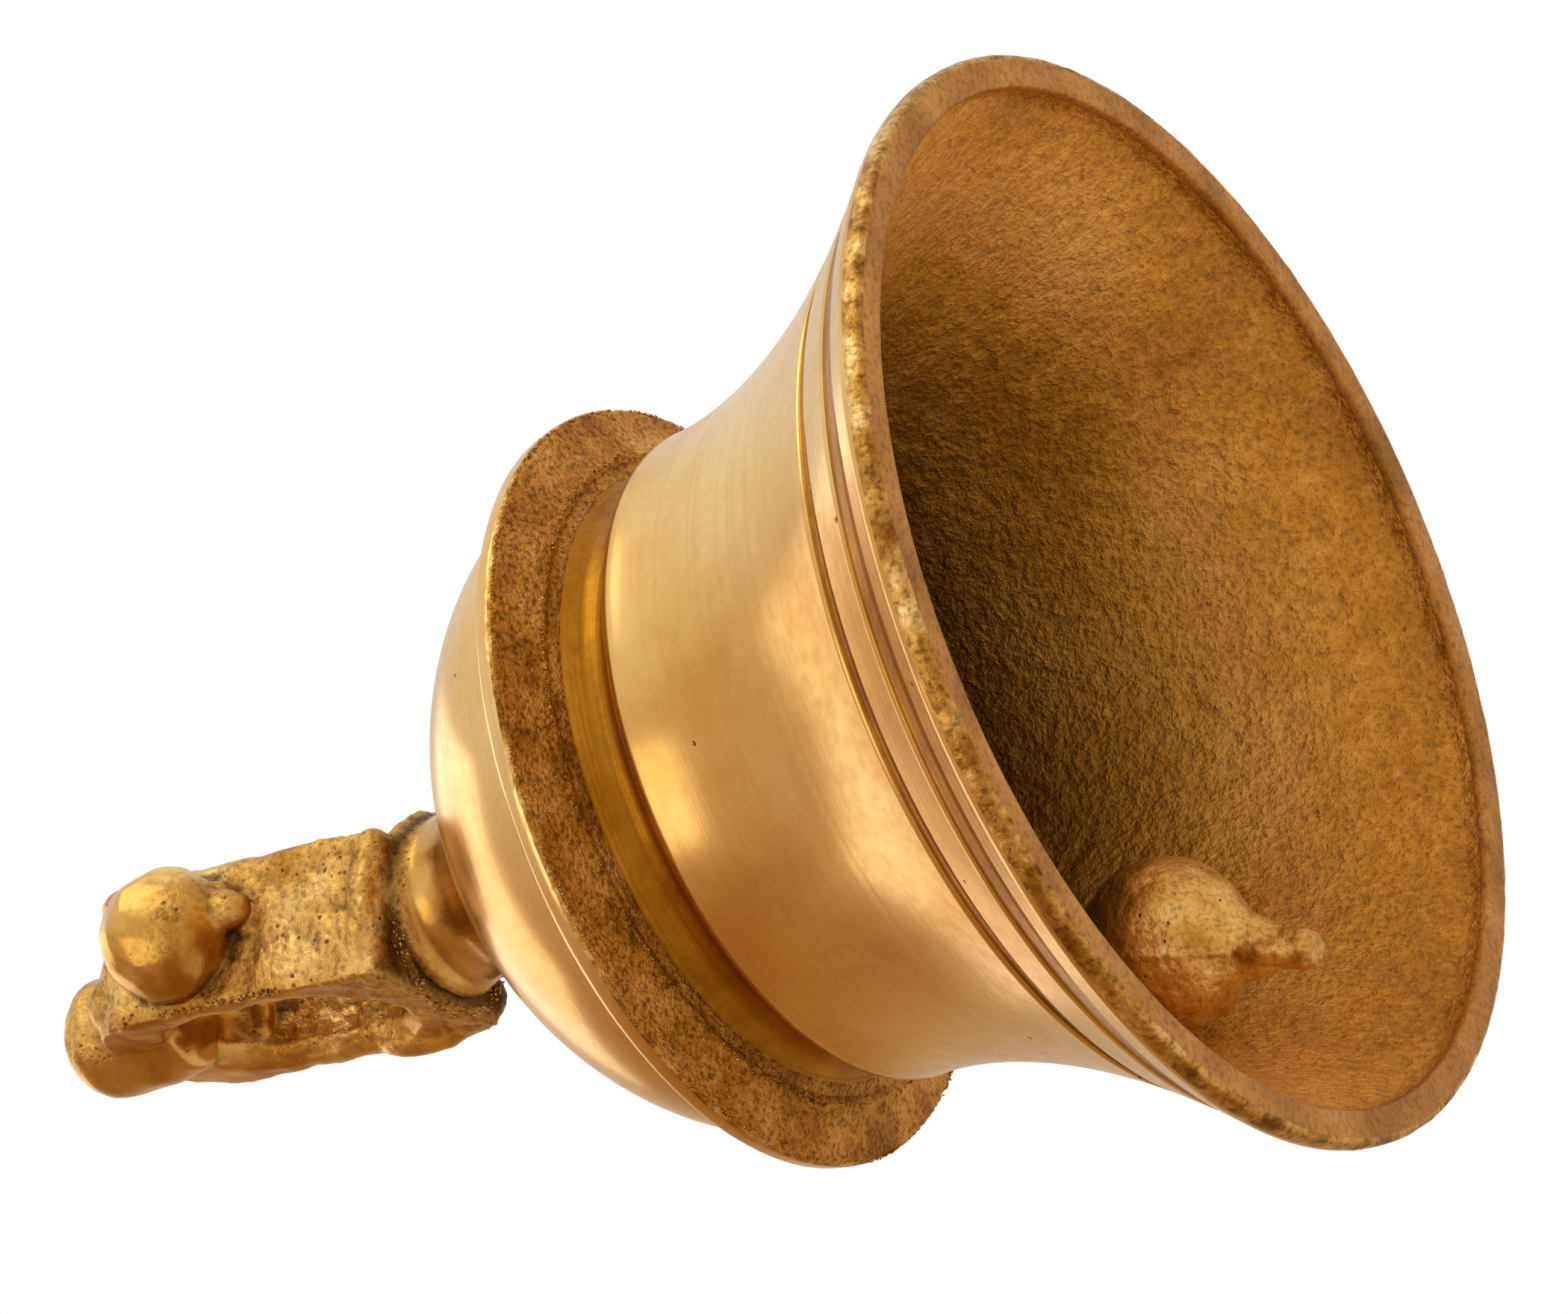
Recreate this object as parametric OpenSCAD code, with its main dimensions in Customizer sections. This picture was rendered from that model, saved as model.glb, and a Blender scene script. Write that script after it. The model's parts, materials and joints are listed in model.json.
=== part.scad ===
/* [Bell] */
// Outer diameter across the mouth
mouth_d = 125; // [90:1:160]
// Height from the lip up to the seat of the handle
crown_h = 88; // [78:1:110]
// Outer diameter of the waist, just below the turned neck groove
waist_d = 76.8; // [66:0.5:90]
// Height of the waist, where the flare ends
waist_z = 50; // [44:0.5:58]
// How quickly the flare opens towards the mouth
flare_power = 1.75; // [1.4:0.05:2.2]
// Radial thickness of the bell wall
wall = 4; // [3:0.1:6]
// Thickness of the metal in the middle of the crown
crown_t = 4.5; // [3.5:0.1:6]

/* [Flange and groove] */
// Outer diameter of the cast flange
flange_d = 89; // [80:0.5:100]
// Thickness of the flange at its edge
flange_t = 2.6; // [1.5:0.1:5]
// How far the flange's lower face drops from its edge to its root
flange_drop = 2.4; // [0.5:0.1:4]
// Height from the waist up to the root of the flange
neck_h = 9.4; // [7:0.1:13]
// Radius of the tool that turned the neck groove
groove_r = 4.2; // [3:0.1:5]
// Diameter at the bottom of the neck groove
groove_d = 68; // [62:0.5:72]
// Depth of the two lines turned in the flare
line_depth = 0.5; // [0.2:0.05:1]
// Heights of the two lines turned in the flare
line_z = [7.3, 14.6]; // [4:0.1:30]
// Widths of the two lines turned in the flare
line_w = [3.2, 1.8]; // [0.8:0.1:4]

/* [Handle] */
// Diameter of the foot that seats on the crown
foot_d = 40; // [34:0.5:48]
// Diameter of the neck between the foot and the loop
handle_neck_d = 19.6; // [16:0.2:26]
// Height of the neck, from the seat to the underside of the loop
handle_neck_h = 19; // [16:0.5:26]
// Width of the loop across its two arms
loop_w = 25; // [22:0.5:34]
// Thickness of the loop from face to face
loop_t = 16; // [14:0.5:24]
// Height of the loop
loop_h = 42; // [36:0.5:56]
// Width of the opening in the loop
eye_w = 16.6; // [12:0.2:18]
// Thickness of the metal under the opening
bridge_t = 5.5; // [4:0.1:9]
// Thickness of the metal over the opening
cap_t = 7.7; // [4:0.1:10]
// Angle by which the casting leans off the bell's axis
lean = 9; // [0:1:12]
// How far the loop's casting sits off the axis at its foot, away from the side that it leans to
loop_shift = 1.7; // [0:0.1:3]
// Diameter of the two ears at the top corners of the loop
ear_d = 13; // [9:0.5:15]
// How far each ear stands out of the arm
ear_out = 9; // [5:0.5:12]
// Diameter of the stub on top of the loop
stub_d = 14.4; // [10:0.2:16]
// Height of the stub over the loop
stub_h = 8.5; // [5:0.5:10]
// How far the stub sits from the middle of the loop, towards its front face
stub_shift = 4; // [0:0.5:5]

/* [Crown hardware] */
// Thread diameter of the eye bolt
bolt_d = 8; // [6:1:10]
// Radial clearance of the bolt's hole in the crown
bolt_gap = 0.3; // [0.1:0.05:0.6]
// Length of bolt screwed into the handle
bolt_grip = 12; // [8:0.5:15]
// Outer diameter of the washer
washer_d = 22; // [18:0.5:26]
// Thickness of the washer
washer_t = 1.6; // [1:0.1:2.5]
// Width of the nut across its flats
nut_af = 13; // [12:0.5:17]
// Height of the nut
nut_h = 5; // [4:0.1:7]
// Diameter of the bar of the eye
eye_bar_d = 3; // [2.4:0.1:3.4]
// Inner diameter of the eye
eye_hole_d = 6; // [5.6:0.1:8]

/* [Clapper] */
// Diameter of the wire of the hanging link
link_wire_d = 2.5; // [2:0.1:3]
// Width of the link's opening
link_inner_w = 5.5; // [5.2:0.1:7]
// Distance between the eye and the clapper's ring on the link
link_pitch = 21.6; // [18:0.2:25]
// Clearance where the link passes each ring
link_gap = 0.3; // [0.2:0.05:0.5]
// Diameter of the bar of the clapper's ring
ring_bar_d = 3.5; // [3:0.1:4]
// Inner diameter of the clapper's ring
ring_hole_d = 6.5; // [6:0.1:8]
// Height of the middle of the clapper's bulb over the lip, at rest on the wall
bulb_z = 18.1; // [16:0.1:24]
// Diameter of the clapper's bulb
bulb_d = 19.4; // [14:0.2:22]
// Diameter of the clapper's shank
shank_d = 5.4; // [4:0.1:7]
// Diameter of the clapper's tail
tail_d = 4.8; // [3.6:0.1:6]
// Length from the middle of the bulb to the end of the tail
tail_reach = 18; // [15:0.5:24]
// Angle of the link off the bell's axis, with the clapper at rest on the wall
link_lean = 67; // [50:1:75]
// Direction, around the bell's axis, in which the clapper leans
swing_dir = 157; // [0:1:359]

/* [Hidden] */
$fn = 128;

mouth_r = mouth_d / 2;
waist_r = waist_d / 2;
flange_r = flange_d / 2;
// Radius of the rounded outer edge of the lip, and the height where it meets the flare
lip_r = 1.3;
lip_top = 2.6;
// Share of a turned line's width that each of its sloping sides takes
line_ease = 0.25;
// Radius of the turned shoulder between the waist and the neck groove, and how far it stands over the waist
shoulder_r = 1.9;
shoulder_rise = 0.6;
// How far the flare would pass the mouth's radius at the lip if the lip weren't rounded
lip_trim = 2.2;
flare_r = mouth_r + lip_trim;
root_z = waist_z + neck_h;
flange_z = root_z + flange_drop;
flange_top = flange_z + flange_t;
// Width of the crown's seat left around the handle's foot
seat_edge = 0.8;
seat_r = foot_d / 2 + seat_edge;
// Width of the flange's upper face, and the radius of the dome that rises out of it
flange_ledge = 4.6;
dome_r = flange_r - flange_ledge;
// Bevel of the flange's upper edge
flange_bevel = 0.6;
// Metal that the groove's tool cuts away, and the height of the middle of its cut
groove_stock = 1.9;
groove_z = waist_z + neck_h / 2 + shoulder_rise;
stock_low = waist_z + 2.6;
stock_high = root_z - shoulder_rise;
// How the dome draws in from the flange to the seat
dome_power = 1.6;
// Distance that a cutting shape runs past the face it cuts
over = 1;
bore_r = bolt_d / 2 + bolt_gap;
inner_top = crown_h - crown_t;
washer_z = inner_top - washer_t;
nut_z = washer_z - nut_h;
// Depth to which the loop sinks into the neck's top
loop_sink = 1.6;
// Free space between the nut and the eye
eye_drop = 0.4;
eye_r = (eye_hole_d + eye_bar_d) / 2;
eye_z = nut_z - eye_drop - eye_r - eye_bar_d / 2;
pivot_z = eye_z - eye_r;
link_r = (link_inner_w + link_wire_d) / 2;
ring_r = (ring_hole_d + ring_bar_d) / 2;
// Distance from each end arc's middle to the bar that the link hangs on
top_inset = link_r - (link_wire_d + eye_bar_d) / 2 - link_gap;
low_inset = link_r - (link_wire_d + ring_bar_d) / 2 - link_gap;
link_straight = link_pitch - top_inset - low_inset;

function arc(cz, cr, r, a0, a1, n) =
    [for (i = [0:n]) let (a = a0 + (a1 - a0) * i / n) [cr + r * cos(a), cz + r * sin(a)]];

function flare(z) = waist_r + (flare_r - waist_r) * pow(max(0, 1 - z / waist_z), flare_power);

// Outer radius of the dome at height z: a quarter ellipse cut off at the seat
function dome(z) =
    let (s = (z - flange_top) / (crown_h - flange_top))
    sqrt(max(0, pow(dome_r, 2) - (pow(dome_r, 2) - pow(seat_r, 2)) * pow(s, dome_power)));

// Where the clapper's bulb rests: its level distance from the wall, as a share of its radius
bulb_seat = 1.25;
bulb_out = flare(bulb_z) - wall - bulb_seat * bulb_d / 2;
// Level and upright distances from the clapper's pivot to its bulb, and the lean and reach that they give
bulb_side = bulb_out - link_pitch * sin(link_lean);
bulb_drop = pivot_z - link_pitch * cos(link_lean) - bulb_z;
clapper_lean = atan2(bulb_side, bulb_drop);
clapper_reach = norm([bulb_side, bulb_drop]);

flare_steps = 18;
cup_steps = 10;
dome_steps = 14;
flare_top = waist_z - 1;

function flare_run(z0, z1, n) = [for (i = [0:n]) let (z = z0 + (z1 - z0) * i / n) [flare(z), z]];

// A turned line: the flare drops to a flat-bottomed cut and comes back
function turned(i) =
    let (z0 = line_z[i] - line_w[i] / 2, z1 = line_z[i] + line_w[i] / 2, in = line_w[i] * line_ease)
    [[flare(z0 + in) - line_depth, z0 + in], [flare(z1 - in) - line_depth, z1 - in]];

outer = concat(
    [[mouth_r - wall, 0], [mouth_r - lip_r, 0]],
    arc(lip_r, mouth_r - lip_r, lip_r, -75, 40, 6),
    flare_run(lip_top, line_z[0] - line_w[0] / 2, 3),
    turned(0),
    flare_run(line_z[0] + line_w[0] / 2, line_z[1] - line_w[1] / 2, 4),
    turned(1),
    flare_run(line_z[1] + line_w[1] / 2, flare_top, 14),
    arc(waist_z + shoulder_rise, waist_r - shoulder_r, shoulder_r, 0, 80, 6),
    [[groove_d / 2 + groove_stock, stock_low], [groove_d / 2 + groove_stock, stock_high]],
    [[waist_r, root_z], [flange_r, flange_z]],
    [[flange_r, flange_top - flange_bevel], [flange_r - flange_bevel, flange_top]],
    [[dome_r, flange_top]],
    [for (i = [1:dome_steps]) let (z = flange_top + (crown_h - flange_top) * i / dome_steps) [dome(z), z]],
    [[0, crown_h], [0, inner_top]]
);

// The hollow follows the flare, runs straight through the neck and closes in a dome, flat for the washer
throat_wall = wall - 0.4;
throat_r = groove_d / 2 - throat_wall;
cup_rise = 3;
cup_z = flange_top + cup_rise;
flat_margin = 1;
flat_r = washer_d / 2 + flat_margin;
inner = concat(
    [[0, inner_top]],
    [for (i = [0:cup_steps]) let (a = 90 - 90 * i / cup_steps)
        [flat_r + (throat_r - flat_r) * cos(a), cup_z + (inner_top - cup_z) * sin(a)]],
    [[throat_r, waist_z + cup_rise]],
    [for (i = [flare_steps:-1:1]) let (z = lip_top + (flare_top - lip_top) * i / flare_steps)
        [max(throat_r, flare(z) - wall), z]]
);

module place_swing() {
    rotate([0, 0, swing_dir]) children();
}

module bell_body() {
    color("goldenrod")
    difference() {
        rotate_extrude() polygon(concat(outer, [for (i = [1:len(inner) - 1]) inner[i]]));
        translate([0, 0, groove_z])
            rotate_extrude() translate([groove_d / 2 + groove_r, 0]) circle(groove_r, $fn = 64);
        translate([0, 0, inner_top - over]) cylinder(r = bore_r, h = crown_t + 2 * over);
    }
}

// Round neck: the foot sweeps up into the neck and ends in a rough collar
module handle_neck() {
    neck_r = handle_neck_d / 2;
    foot_r = foot_d / 2;
    // Height of the sweep from the foot to the neck, its curve, and the foot's upright edge
    sweep_h = 11;
    sweep_power = 1.9;
    sweep_steps = 12;
    edge_h = 0.6;
    // Rough collar under the loop
    collar_out = 0.9;
    collar_z = [handle_neck_h - 4.5, handle_neck_h - 3.2, handle_neck_h - 1.6];
    rotate_extrude() polygon(concat(
        [[0, 0], [foot_r, 0]],
        [for (i = [0:sweep_steps]) let (t = i / sweep_steps)
            [neck_r + (foot_r - neck_r) * pow(1 - t, sweep_power), edge_h + (sweep_h - edge_h) * t]],
        [[neck_r, collar_z[0]], [neck_r + collar_out, collar_z[1]], [neck_r + collar_out, collar_z[2]]],
        [[neck_r, handle_neck_h], [0, handle_neck_h]]
    ));
}

module loop_outline() {
    corner = 7;
    base = 4;
    hull() {
        for (s = [-1, 1]) {
            translate([s * (loop_w / 2 - base), base]) circle(base);
            translate([s * (loop_w / 2 - corner), loop_h - corner]) circle(corner);
        }
    }
}

// Loop with its oblong opening, ears and stub, standing on the neck's top
module loop() {
    eye_r2 = eye_w / 2;
    // Depth to which the ears are rooted in the arms, and the height left over them
    ear_root = (loop_w - eye_w) / 2;
    ear_drop = 8.5;
    ear_round = ear_d * 0.4;
    // Depth to which the stub is rooted in the loop, and the radius of its end
    stub_root = 3;
    stub_round = 2.5;
    difference() {
        union() {
            rotate([90, 0, 90]) translate([0, 0, -loop_t / 2]) linear_extrude(loop_t) loop_outline();
            for (s = [-1, 1])
                translate([0, s * (loop_w / 2 - ear_root), loop_h - ear_d / 2 - ear_drop])
                    rotate([-90 * s, 0, 0]) rotate_extrude() polygon(concat([[0, 0], [ear_d / 2, 0]],
                        arc(ear_root + ear_out - ear_round, ear_d / 2 - ear_round, ear_round, 0, 90, 8),
                        [[0, ear_root + ear_out]]));
            translate([-stub_shift, 0, loop_h - stub_root])
                rotate_extrude() polygon(concat([[0, 0], [stub_d / 2, 0]],
                    arc(stub_root + stub_h - stub_round, stub_d / 2 - stub_round, stub_round, 0, 90, 6),
                    [[0, stub_root + stub_h]]));
        }
        translate([0, 0, bridge_t + eye_r2]) rotate([0, 90, 0])
            cylinder(r = eye_r2, h = loop_t + 2 * over, center = true);
        translate([0, 0, loop_h - cap_t - eye_r2]) rotate([0, 90, 0])
            cylinder(r = eye_r2, h = loop_t + 2 * over, center = true);
        translate([-loop_t / 2 - over, -eye_r2, bridge_t + eye_r2])
            cube([loop_t + 2 * over, eye_w, loop_h - bridge_t - cap_t - 2 * eye_r2]);
    }
}

module crown_handle() {
    color("darkgoldenrod")
    translate([0, 0, crown_h]) difference() {
        union() {
            handle_neck();
            translate([0, 0, handle_neck_h]) rotate([0, lean, 0])
                translate([-loop_shift, 0, -loop_sink]) loop();
        }
        translate([0, 0, -over]) cylinder(d = bolt_d, h = bolt_grip + 2 * over);
    }
}

module eye_bolt() {
    color("peru") {
        translate([0, 0, eye_z + eye_r]) cylinder(d = bolt_d, h = crown_h + bolt_grip - eye_z - eye_r);
        place_swing() translate([0, 0, eye_z]) rotate([0, 90, 0])
            rotate_extrude() translate([eye_r, 0]) circle(d = eye_bar_d, $fn = 48);
    }
}

module crown_washer() {
    color("gold")
    translate([0, 0, washer_z]) difference() {
        cylinder(d = washer_d, h = washer_t);
        translate([0, 0, -over]) cylinder(r = bore_r, h = washer_t + 2 * over);
    }
}

module crown_nut() {
    color("khaki")
    translate([0, 0, nut_z]) difference() {
        cylinder(d = nut_af / cos(30), h = nut_h, $fn = 6);
        translate([0, 0, -over]) cylinder(d = bolt_d, h = nut_h + 2 * over);
    }
}

// Half of a round bar, bent through 180 degrees, open towards -Z
module link_end() {
    rotate([90, 0, 0]) rotate_extrude(angle = 180) translate([link_r, 0]) circle(d = link_wire_d, $fn = 48);
}

module clapper_link() {
    color("dimgray")
    place_swing() translate([0, 0, pivot_z]) rotate([0, -link_lean, 0]) translate([0, 0, -top_inset]) {
        link_end();
        translate([0, 0, -link_straight]) rotate([0, 180, 0]) link_end();
        for (s = [-1, 1])
            translate([s * link_r, 0, -link_straight]) cylinder(d = link_wire_d, h = link_straight, $fn = 48);
    }
}

// Cast clapper, hanging from its ring along -Z from the pivot
module clapper_casting() {
    bulb_r = bulb_d / 2;
    tail_r = tail_d / 2;
    // Throat between tail and bulb: heights as shares of the bulb's radius, and the flare of the tail into it
    tail_round = 0.9;
    throat = [-1.4, -1.2, -0.9, 1.06];
    throat_share = 0.46;
    translate([0, 0, -ring_r]) rotate([0, 90, 0])
        rotate_extrude() translate([ring_r, 0]) circle(d = ring_bar_d, $fn = 48);
    translate([0, 0, -clapper_reach]) rotate_extrude() polygon(concat(
        [[0, -tail_reach], [tail_r - tail_round, -tail_reach], [tail_r, -tail_reach + tail_round]],
        [[tail_r, bulb_r * throat[0]], [tail_r + tail_round, bulb_r * throat[1]]],
        [[bulb_r * throat_share, bulb_r * throat[2]]],
        arc(0, 0, bulb_r, -48, 62, 16),
        [[shank_d / 2, bulb_r * throat[3]], [shank_d / 2, clapper_reach - 2 * ring_r]],
        [[0, clapper_reach - 2 * ring_r]]
    ));
}

module clapper() {
    color("chocolate")
    place_swing() translate([0, 0, pivot_z])
        rotate([0, -link_lean, 0]) translate([0, 0, -link_pitch]) rotate([0, link_lean - clapper_lean, 0])
            clapper_casting();
}

bell_body();
crown_handle();
eye_bolt();
crown_washer();
crown_nut();
clapper_link();
clapper();
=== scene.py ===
"""A cast brass hanging bell: flared body, flange, domed crown, cast loop, clapper and its hanging hardware.

Lengths are millimetres unless a name says otherwise, and turn to metres where a mesh is made.
"""

import json
import logging
import math
from dataclasses import dataclass, field
from enum import Enum

import bmesh
import bpy
import numpy
from mathutils import Euler, Matrix, Vector, noise


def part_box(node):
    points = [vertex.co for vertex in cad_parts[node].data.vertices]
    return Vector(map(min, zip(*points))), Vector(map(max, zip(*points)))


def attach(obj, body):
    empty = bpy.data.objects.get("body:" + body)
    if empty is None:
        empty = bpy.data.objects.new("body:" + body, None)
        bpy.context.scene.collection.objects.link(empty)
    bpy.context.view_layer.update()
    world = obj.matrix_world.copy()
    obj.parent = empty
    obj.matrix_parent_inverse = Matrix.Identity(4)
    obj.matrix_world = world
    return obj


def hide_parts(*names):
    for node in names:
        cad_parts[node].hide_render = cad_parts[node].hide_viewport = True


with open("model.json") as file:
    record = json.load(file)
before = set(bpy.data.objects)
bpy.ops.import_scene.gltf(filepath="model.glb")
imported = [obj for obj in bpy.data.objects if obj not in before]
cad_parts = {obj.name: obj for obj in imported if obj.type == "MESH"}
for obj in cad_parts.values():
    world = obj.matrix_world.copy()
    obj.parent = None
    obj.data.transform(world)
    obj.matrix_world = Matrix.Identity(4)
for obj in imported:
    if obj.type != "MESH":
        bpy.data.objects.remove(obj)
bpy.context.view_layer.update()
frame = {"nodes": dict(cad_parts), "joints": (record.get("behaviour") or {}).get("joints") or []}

MM = 0.001
# Points of a turned skin closer than this, in metres, are one point: its seam and its poles.
SEAM_GAP = 2e-6
LOG = logging.getLogger("bell")

Point = tuple[float, float]


class Region(Enum):
    """Stretches of a turned profile, each with a finish of its own."""

    POLISHED = 0
    TURNED = 1
    LIP = 2
    EDGE = 3
    CAST = 4
    INSIDE = 5


def linear(code: str) -> tuple[float, float, float, float]:
    """Turns an sRGB hex code to the linear colour that a socket holds.

    Args:
        code: six hex digits, with or without a leading hash.

    Returns:
        Linear red, green, blue and alpha.
    """
    parts = [int(code.lstrip("#")[i:i + 2], 16) / 255 for i in (0, 2, 4)]
    return tuple(p / 12.92 if p <= 0.04045 else ((p + 0.055) / 1.055) ** 2.4 for p in parts) + (1.0,)


def add_node(tree: bpy.types.NodeTree, kind: str, inputs: dict | None = None, **settings) -> bpy.types.Node:
    """Adds a node, sets its properties, and fills or links its inputs.

    Args:
        tree: the tree that gets the node.
        kind: the node's type name.
        inputs: socket names or numbers, each with a value or the output socket to link.
        settings: properties of the node.

    Returns:
        The new node.
    """
    made = tree.nodes.new(kind)
    for key, value in settings.items():
        setattr(made, key, value)
    for key, value in (inputs or {}).items():
        if isinstance(value, bpy.types.NodeSocket):
            tree.links.new(value, made.inputs[key])
        else:
            made.inputs[key].default_value = value
    return made


def combine(tree: bpy.types.NodeTree, operation: str, *values) -> bpy.types.NodeSocket:
    """Adds a Math node and returns its output."""
    made = add_node(tree, "ShaderNodeMath", dict(enumerate(values)), operation=operation)
    return made.outputs[0]


def fade(tree: bpy.types.NodeTree, value: bpy.types.NodeSocket, start: object, end: object,
         low: float = 0.0, high: float = 1.0) -> bpy.types.NodeSocket:
    """Maps a value that runs from start to end onto low to high, and returns the output."""
    return add_node(tree, "ShaderNodeMapRange", {
        "Value": value, "From Min": start, "From Max": end, "To Min": low, "To Max": high}).outputs[0]


def speckle(tree: bpy.types.NodeTree, place: bpy.types.NodeSocket, scale: object, detail: float,
            roughness: float) -> bpy.types.NodeSocket:
    """Adds a noise texture and returns its value."""
    return add_node(tree, "ShaderNodeTexNoise", {
        "Vector": place, "Scale": scale, "Detail": detail, "Roughness": roughness}).outputs["Fac"]


def per_metre(size_mm: float) -> float:
    """Scale of a pattern whose features are a given size in millimetres."""
    return 1 / (size_mm * MM)


def show(name: str, data: bpy.types.ID) -> bpy.types.Object:
    """Makes an object of some data and links it to the scene."""
    made = bpy.data.objects.new(name, data)
    bpy.context.scene.collection.objects.link(made)
    return made


def evaluated(source: bpy.types.Object) -> bpy.types.Mesh:
    """The mesh that an object's modifiers make of it."""
    bpy.context.view_layer.update()
    return bpy.data.meshes.new_from_object(source.evaluated_get(bpy.context.evaluated_depsgraph_get()))


def outward(made: bmesh.types.BMesh, rings: list[list], closed: bool = True) -> bmesh.types.BMesh:
    """Joins rings of points into a skin of quads whose faces point outwards.

    Args:
        made: the mesh that holds the points.
        rings: rings with as many points each, or a single point at a pole.
        closed: whether the last ring joins the first.

    Returns:
        The same mesh.
    """
    for low, high in zip(rings, rings[1:] + rings[:1] if closed else rings[1:]):
        for i in range(max(len(low), len(high))):
            j = (i + 1) % max(len(low), len(high))
            if len(low) == 1:
                made.faces.new((low[0], high[i], high[j]))
            elif len(high) == 1:
                made.faces.new((low[j], low[i], high[0]))
            else:
                made.faces.new((low[i], low[j], high[j], high[i]))
    bmesh.ops.recalc_face_normals(made, faces=made.faces)
    return made


@dataclass(frozen=True)
class BrassFinish:
    """Brass with a given surface, from mirror-like polish to a raw sand-cast skin.

    Colours run from bright to dark. Sizes are in millimetres: tarnish clouds, cast grains, pits and turning
    rings. Where masked is set, the piece's own "cast" attribute says how raw the skin is at each point.
    Some colour is painted light: a painted highlight on the tops of the raised clumps, painted shade that
    darkens towards the crevice colour over the heights of deep_z, and painted shade in the hollows that the
    piece's "cavity" attribute marks.
    """

    name: str
    bright: str
    mid: str
    dark: str
    crevice: str
    roughness: float
    rough_spread: float = 0.08
    cloud_mm: float = 22.0
    grain_mm: float = 0.9
    grain_depth: float = 0.0
    grain_tint: float = 0.0
    pit_mm: float = 2.4
    pit_size: float = 0.0
    ring_mm: float = 0.35
    ring_depth: float = 0.0
    ring_tint: float = 0.0
    clump_mm: float = 0.0
    clump_depth: float = 0.0
    # deep_z and deep_shade_share paint shade: the colour darkens towards the crevice colour over that span of
    # heights.
    deep_z: tuple[float, float] | None = None
    deep_shade_share: float = 0.0
    metal: float = 1.0
    masked: bool = False
    # cavity paints shade into the hollows that the piece's cavity attribute marks.
    cavity: bool = False

    def material(self) -> bpy.types.Material:
        """Builds the material, once.

        Returns:
            The material of this finish.
        """
        if self.name in bpy.data.materials:
            return bpy.data.materials[self.name]
        made = bpy.data.materials.new(self.name)
        made.use_nodes = True
        tree = made.node_tree
        tree.nodes.clear()
        place = add_node(tree, "ShaderNodeTexCoord").outputs["Object"]
        raw = 1.0
        if self.masked:
            raw = add_node(tree, "ShaderNodeAttribute", attribute_name="cast").outputs["Fac"]
        cloud = speckle(tree, place, per_metre(self.cloud_mm), 5.0, 0.6)
        tones = add_node(tree, "ShaderNodeValToRGB", {"Fac": cloud})
        for stop, at, code in zip(tones.color_ramp.elements, (0.34, 0.66), (self.dark, self.bright)):
            stop.position, stop.color = at, linear(code)
        tones.color_ramp.elements.new(0.5).color = linear(self.mid)
        colour = tones.outputs["Color"]
        grain = speckle(tree, place, per_metre(self.grain_mm), 4.0, 0.62)
        low = fade(tree, grain, 0.52, 0.36, 0.0, self.grain_tint)
        colour = self._toward(tree, colour, self.crevice, combine(tree, "MULTIPLY", low, raw))
        height = combine(tree, "MULTIPLY", combine(tree, "MULTIPLY", grain, self.grain_depth), raw)
        if self.clump_mm:
            clump = speckle(tree, place, per_metre(self.clump_mm), 5.0, 0.66)
            low = fade(tree, clump, 0.5, 0.34, 0.0, self.grain_tint * 0.6)
            colour = self._toward(tree, colour, self.crevice, low)
            # Painted highlight: the tops of the raised clumps are mixed towards the bright colour.
            colour = self._toward(tree, colour, self.bright, fade(tree, clump, 0.56, 0.68, 0.0, 0.55))
            height = self._raised(tree, height, clump, self.clump_depth)
        # Painted shade: the colour darkens towards the crevice colour over the heights of deep_z.
        if self.deep_z:
            level = add_node(tree, "ShaderNodeSeparateXYZ", {0: place}).outputs[2]
            wander = 0.02
            deep = fade(tree, self._raised(tree, level, cloud, wander), self.deep_z[0] * MM + wander / 2,
                        self.deep_z[1] * MM + wander / 2, 0.0, self.deep_shade_share)
            colour = self._toward(tree, colour, self.crevice, deep)
        if self.pit_size:
            cells = add_node(tree, "ShaderNodeTexVoronoi", {
                "Vector": place, "Scale": per_metre(self.pit_mm), "Randomness": 1.0}).outputs
            size = add_node(tree, "ShaderNodeSeparateColor", {"Color": cells["Color"]}).outputs[0]
            edge = combine(tree, "MULTIPLY", combine(tree, "POWER", size, 2.2), self.pit_size)
            pit = fade(tree, cells["Distance"], edge, combine(tree, "MULTIPLY", edge, 0.4))
            if self.masked:
                shown = combine(tree, "ADD", combine(tree, "MULTIPLY", raw, 0.9), 0.1)
                pit = combine(tree, "MULTIPLY", pit, shown)
            colour = self._toward(tree, colour, self.crevice, combine(tree, "MULTIPLY", pit, 0.85))
            height = self._raised(tree, height, pit, -0.12)
        if self.ring_depth:
            drag = add_node(tree, "ShaderNodeMapping", {
                "Vector": place, "Scale": (12.0, 12.0, per_metre(self.ring_mm))}).outputs[0]
            rings = speckle(tree, drag, 1.0, 3.0, 0.7)
            height = self._raised(tree, height, rings, self.ring_depth)
            colour = self._toward(tree, colour, self.dark, fade(tree, rings, 0.5, 0.3, 0.0, self.ring_tint))
        # Painted shade: the hollows that the cavity attribute marks are darkened towards the crevice colour.
        if self.masked or self.cavity:
            hollow = add_node(tree, "ShaderNodeAttribute", attribute_name="cavity").outputs["Fac"]
            colour = self._toward(tree, colour, self.crevice, combine(tree, "MULTIPLY", hollow, 0.9))
        bump = add_node(tree, "ShaderNodeBump", {"Height": height, "Distance": MM, "Strength": 1.0})
        mottle = combine(tree, "MULTIPLY", combine(tree, "ADD", cloud, grain), 0.5)
        rough = fade(tree, mottle, 0.35, 0.65, self.roughness + self.rough_spread,
                     self.roughness - self.rough_spread)
        if self.masked:
            rough = self._raised(tree, rough, raw, 0.14)
        shader = add_node(tree, "ShaderNodeBsdfPrincipled", {
            "Base Color": colour, "Roughness": rough, "Metallic": self.metal, "Normal": bump.outputs[0]})
        add_node(tree, "ShaderNodeOutputMaterial", {"Surface": shader.outputs[0]})
        return made

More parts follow.
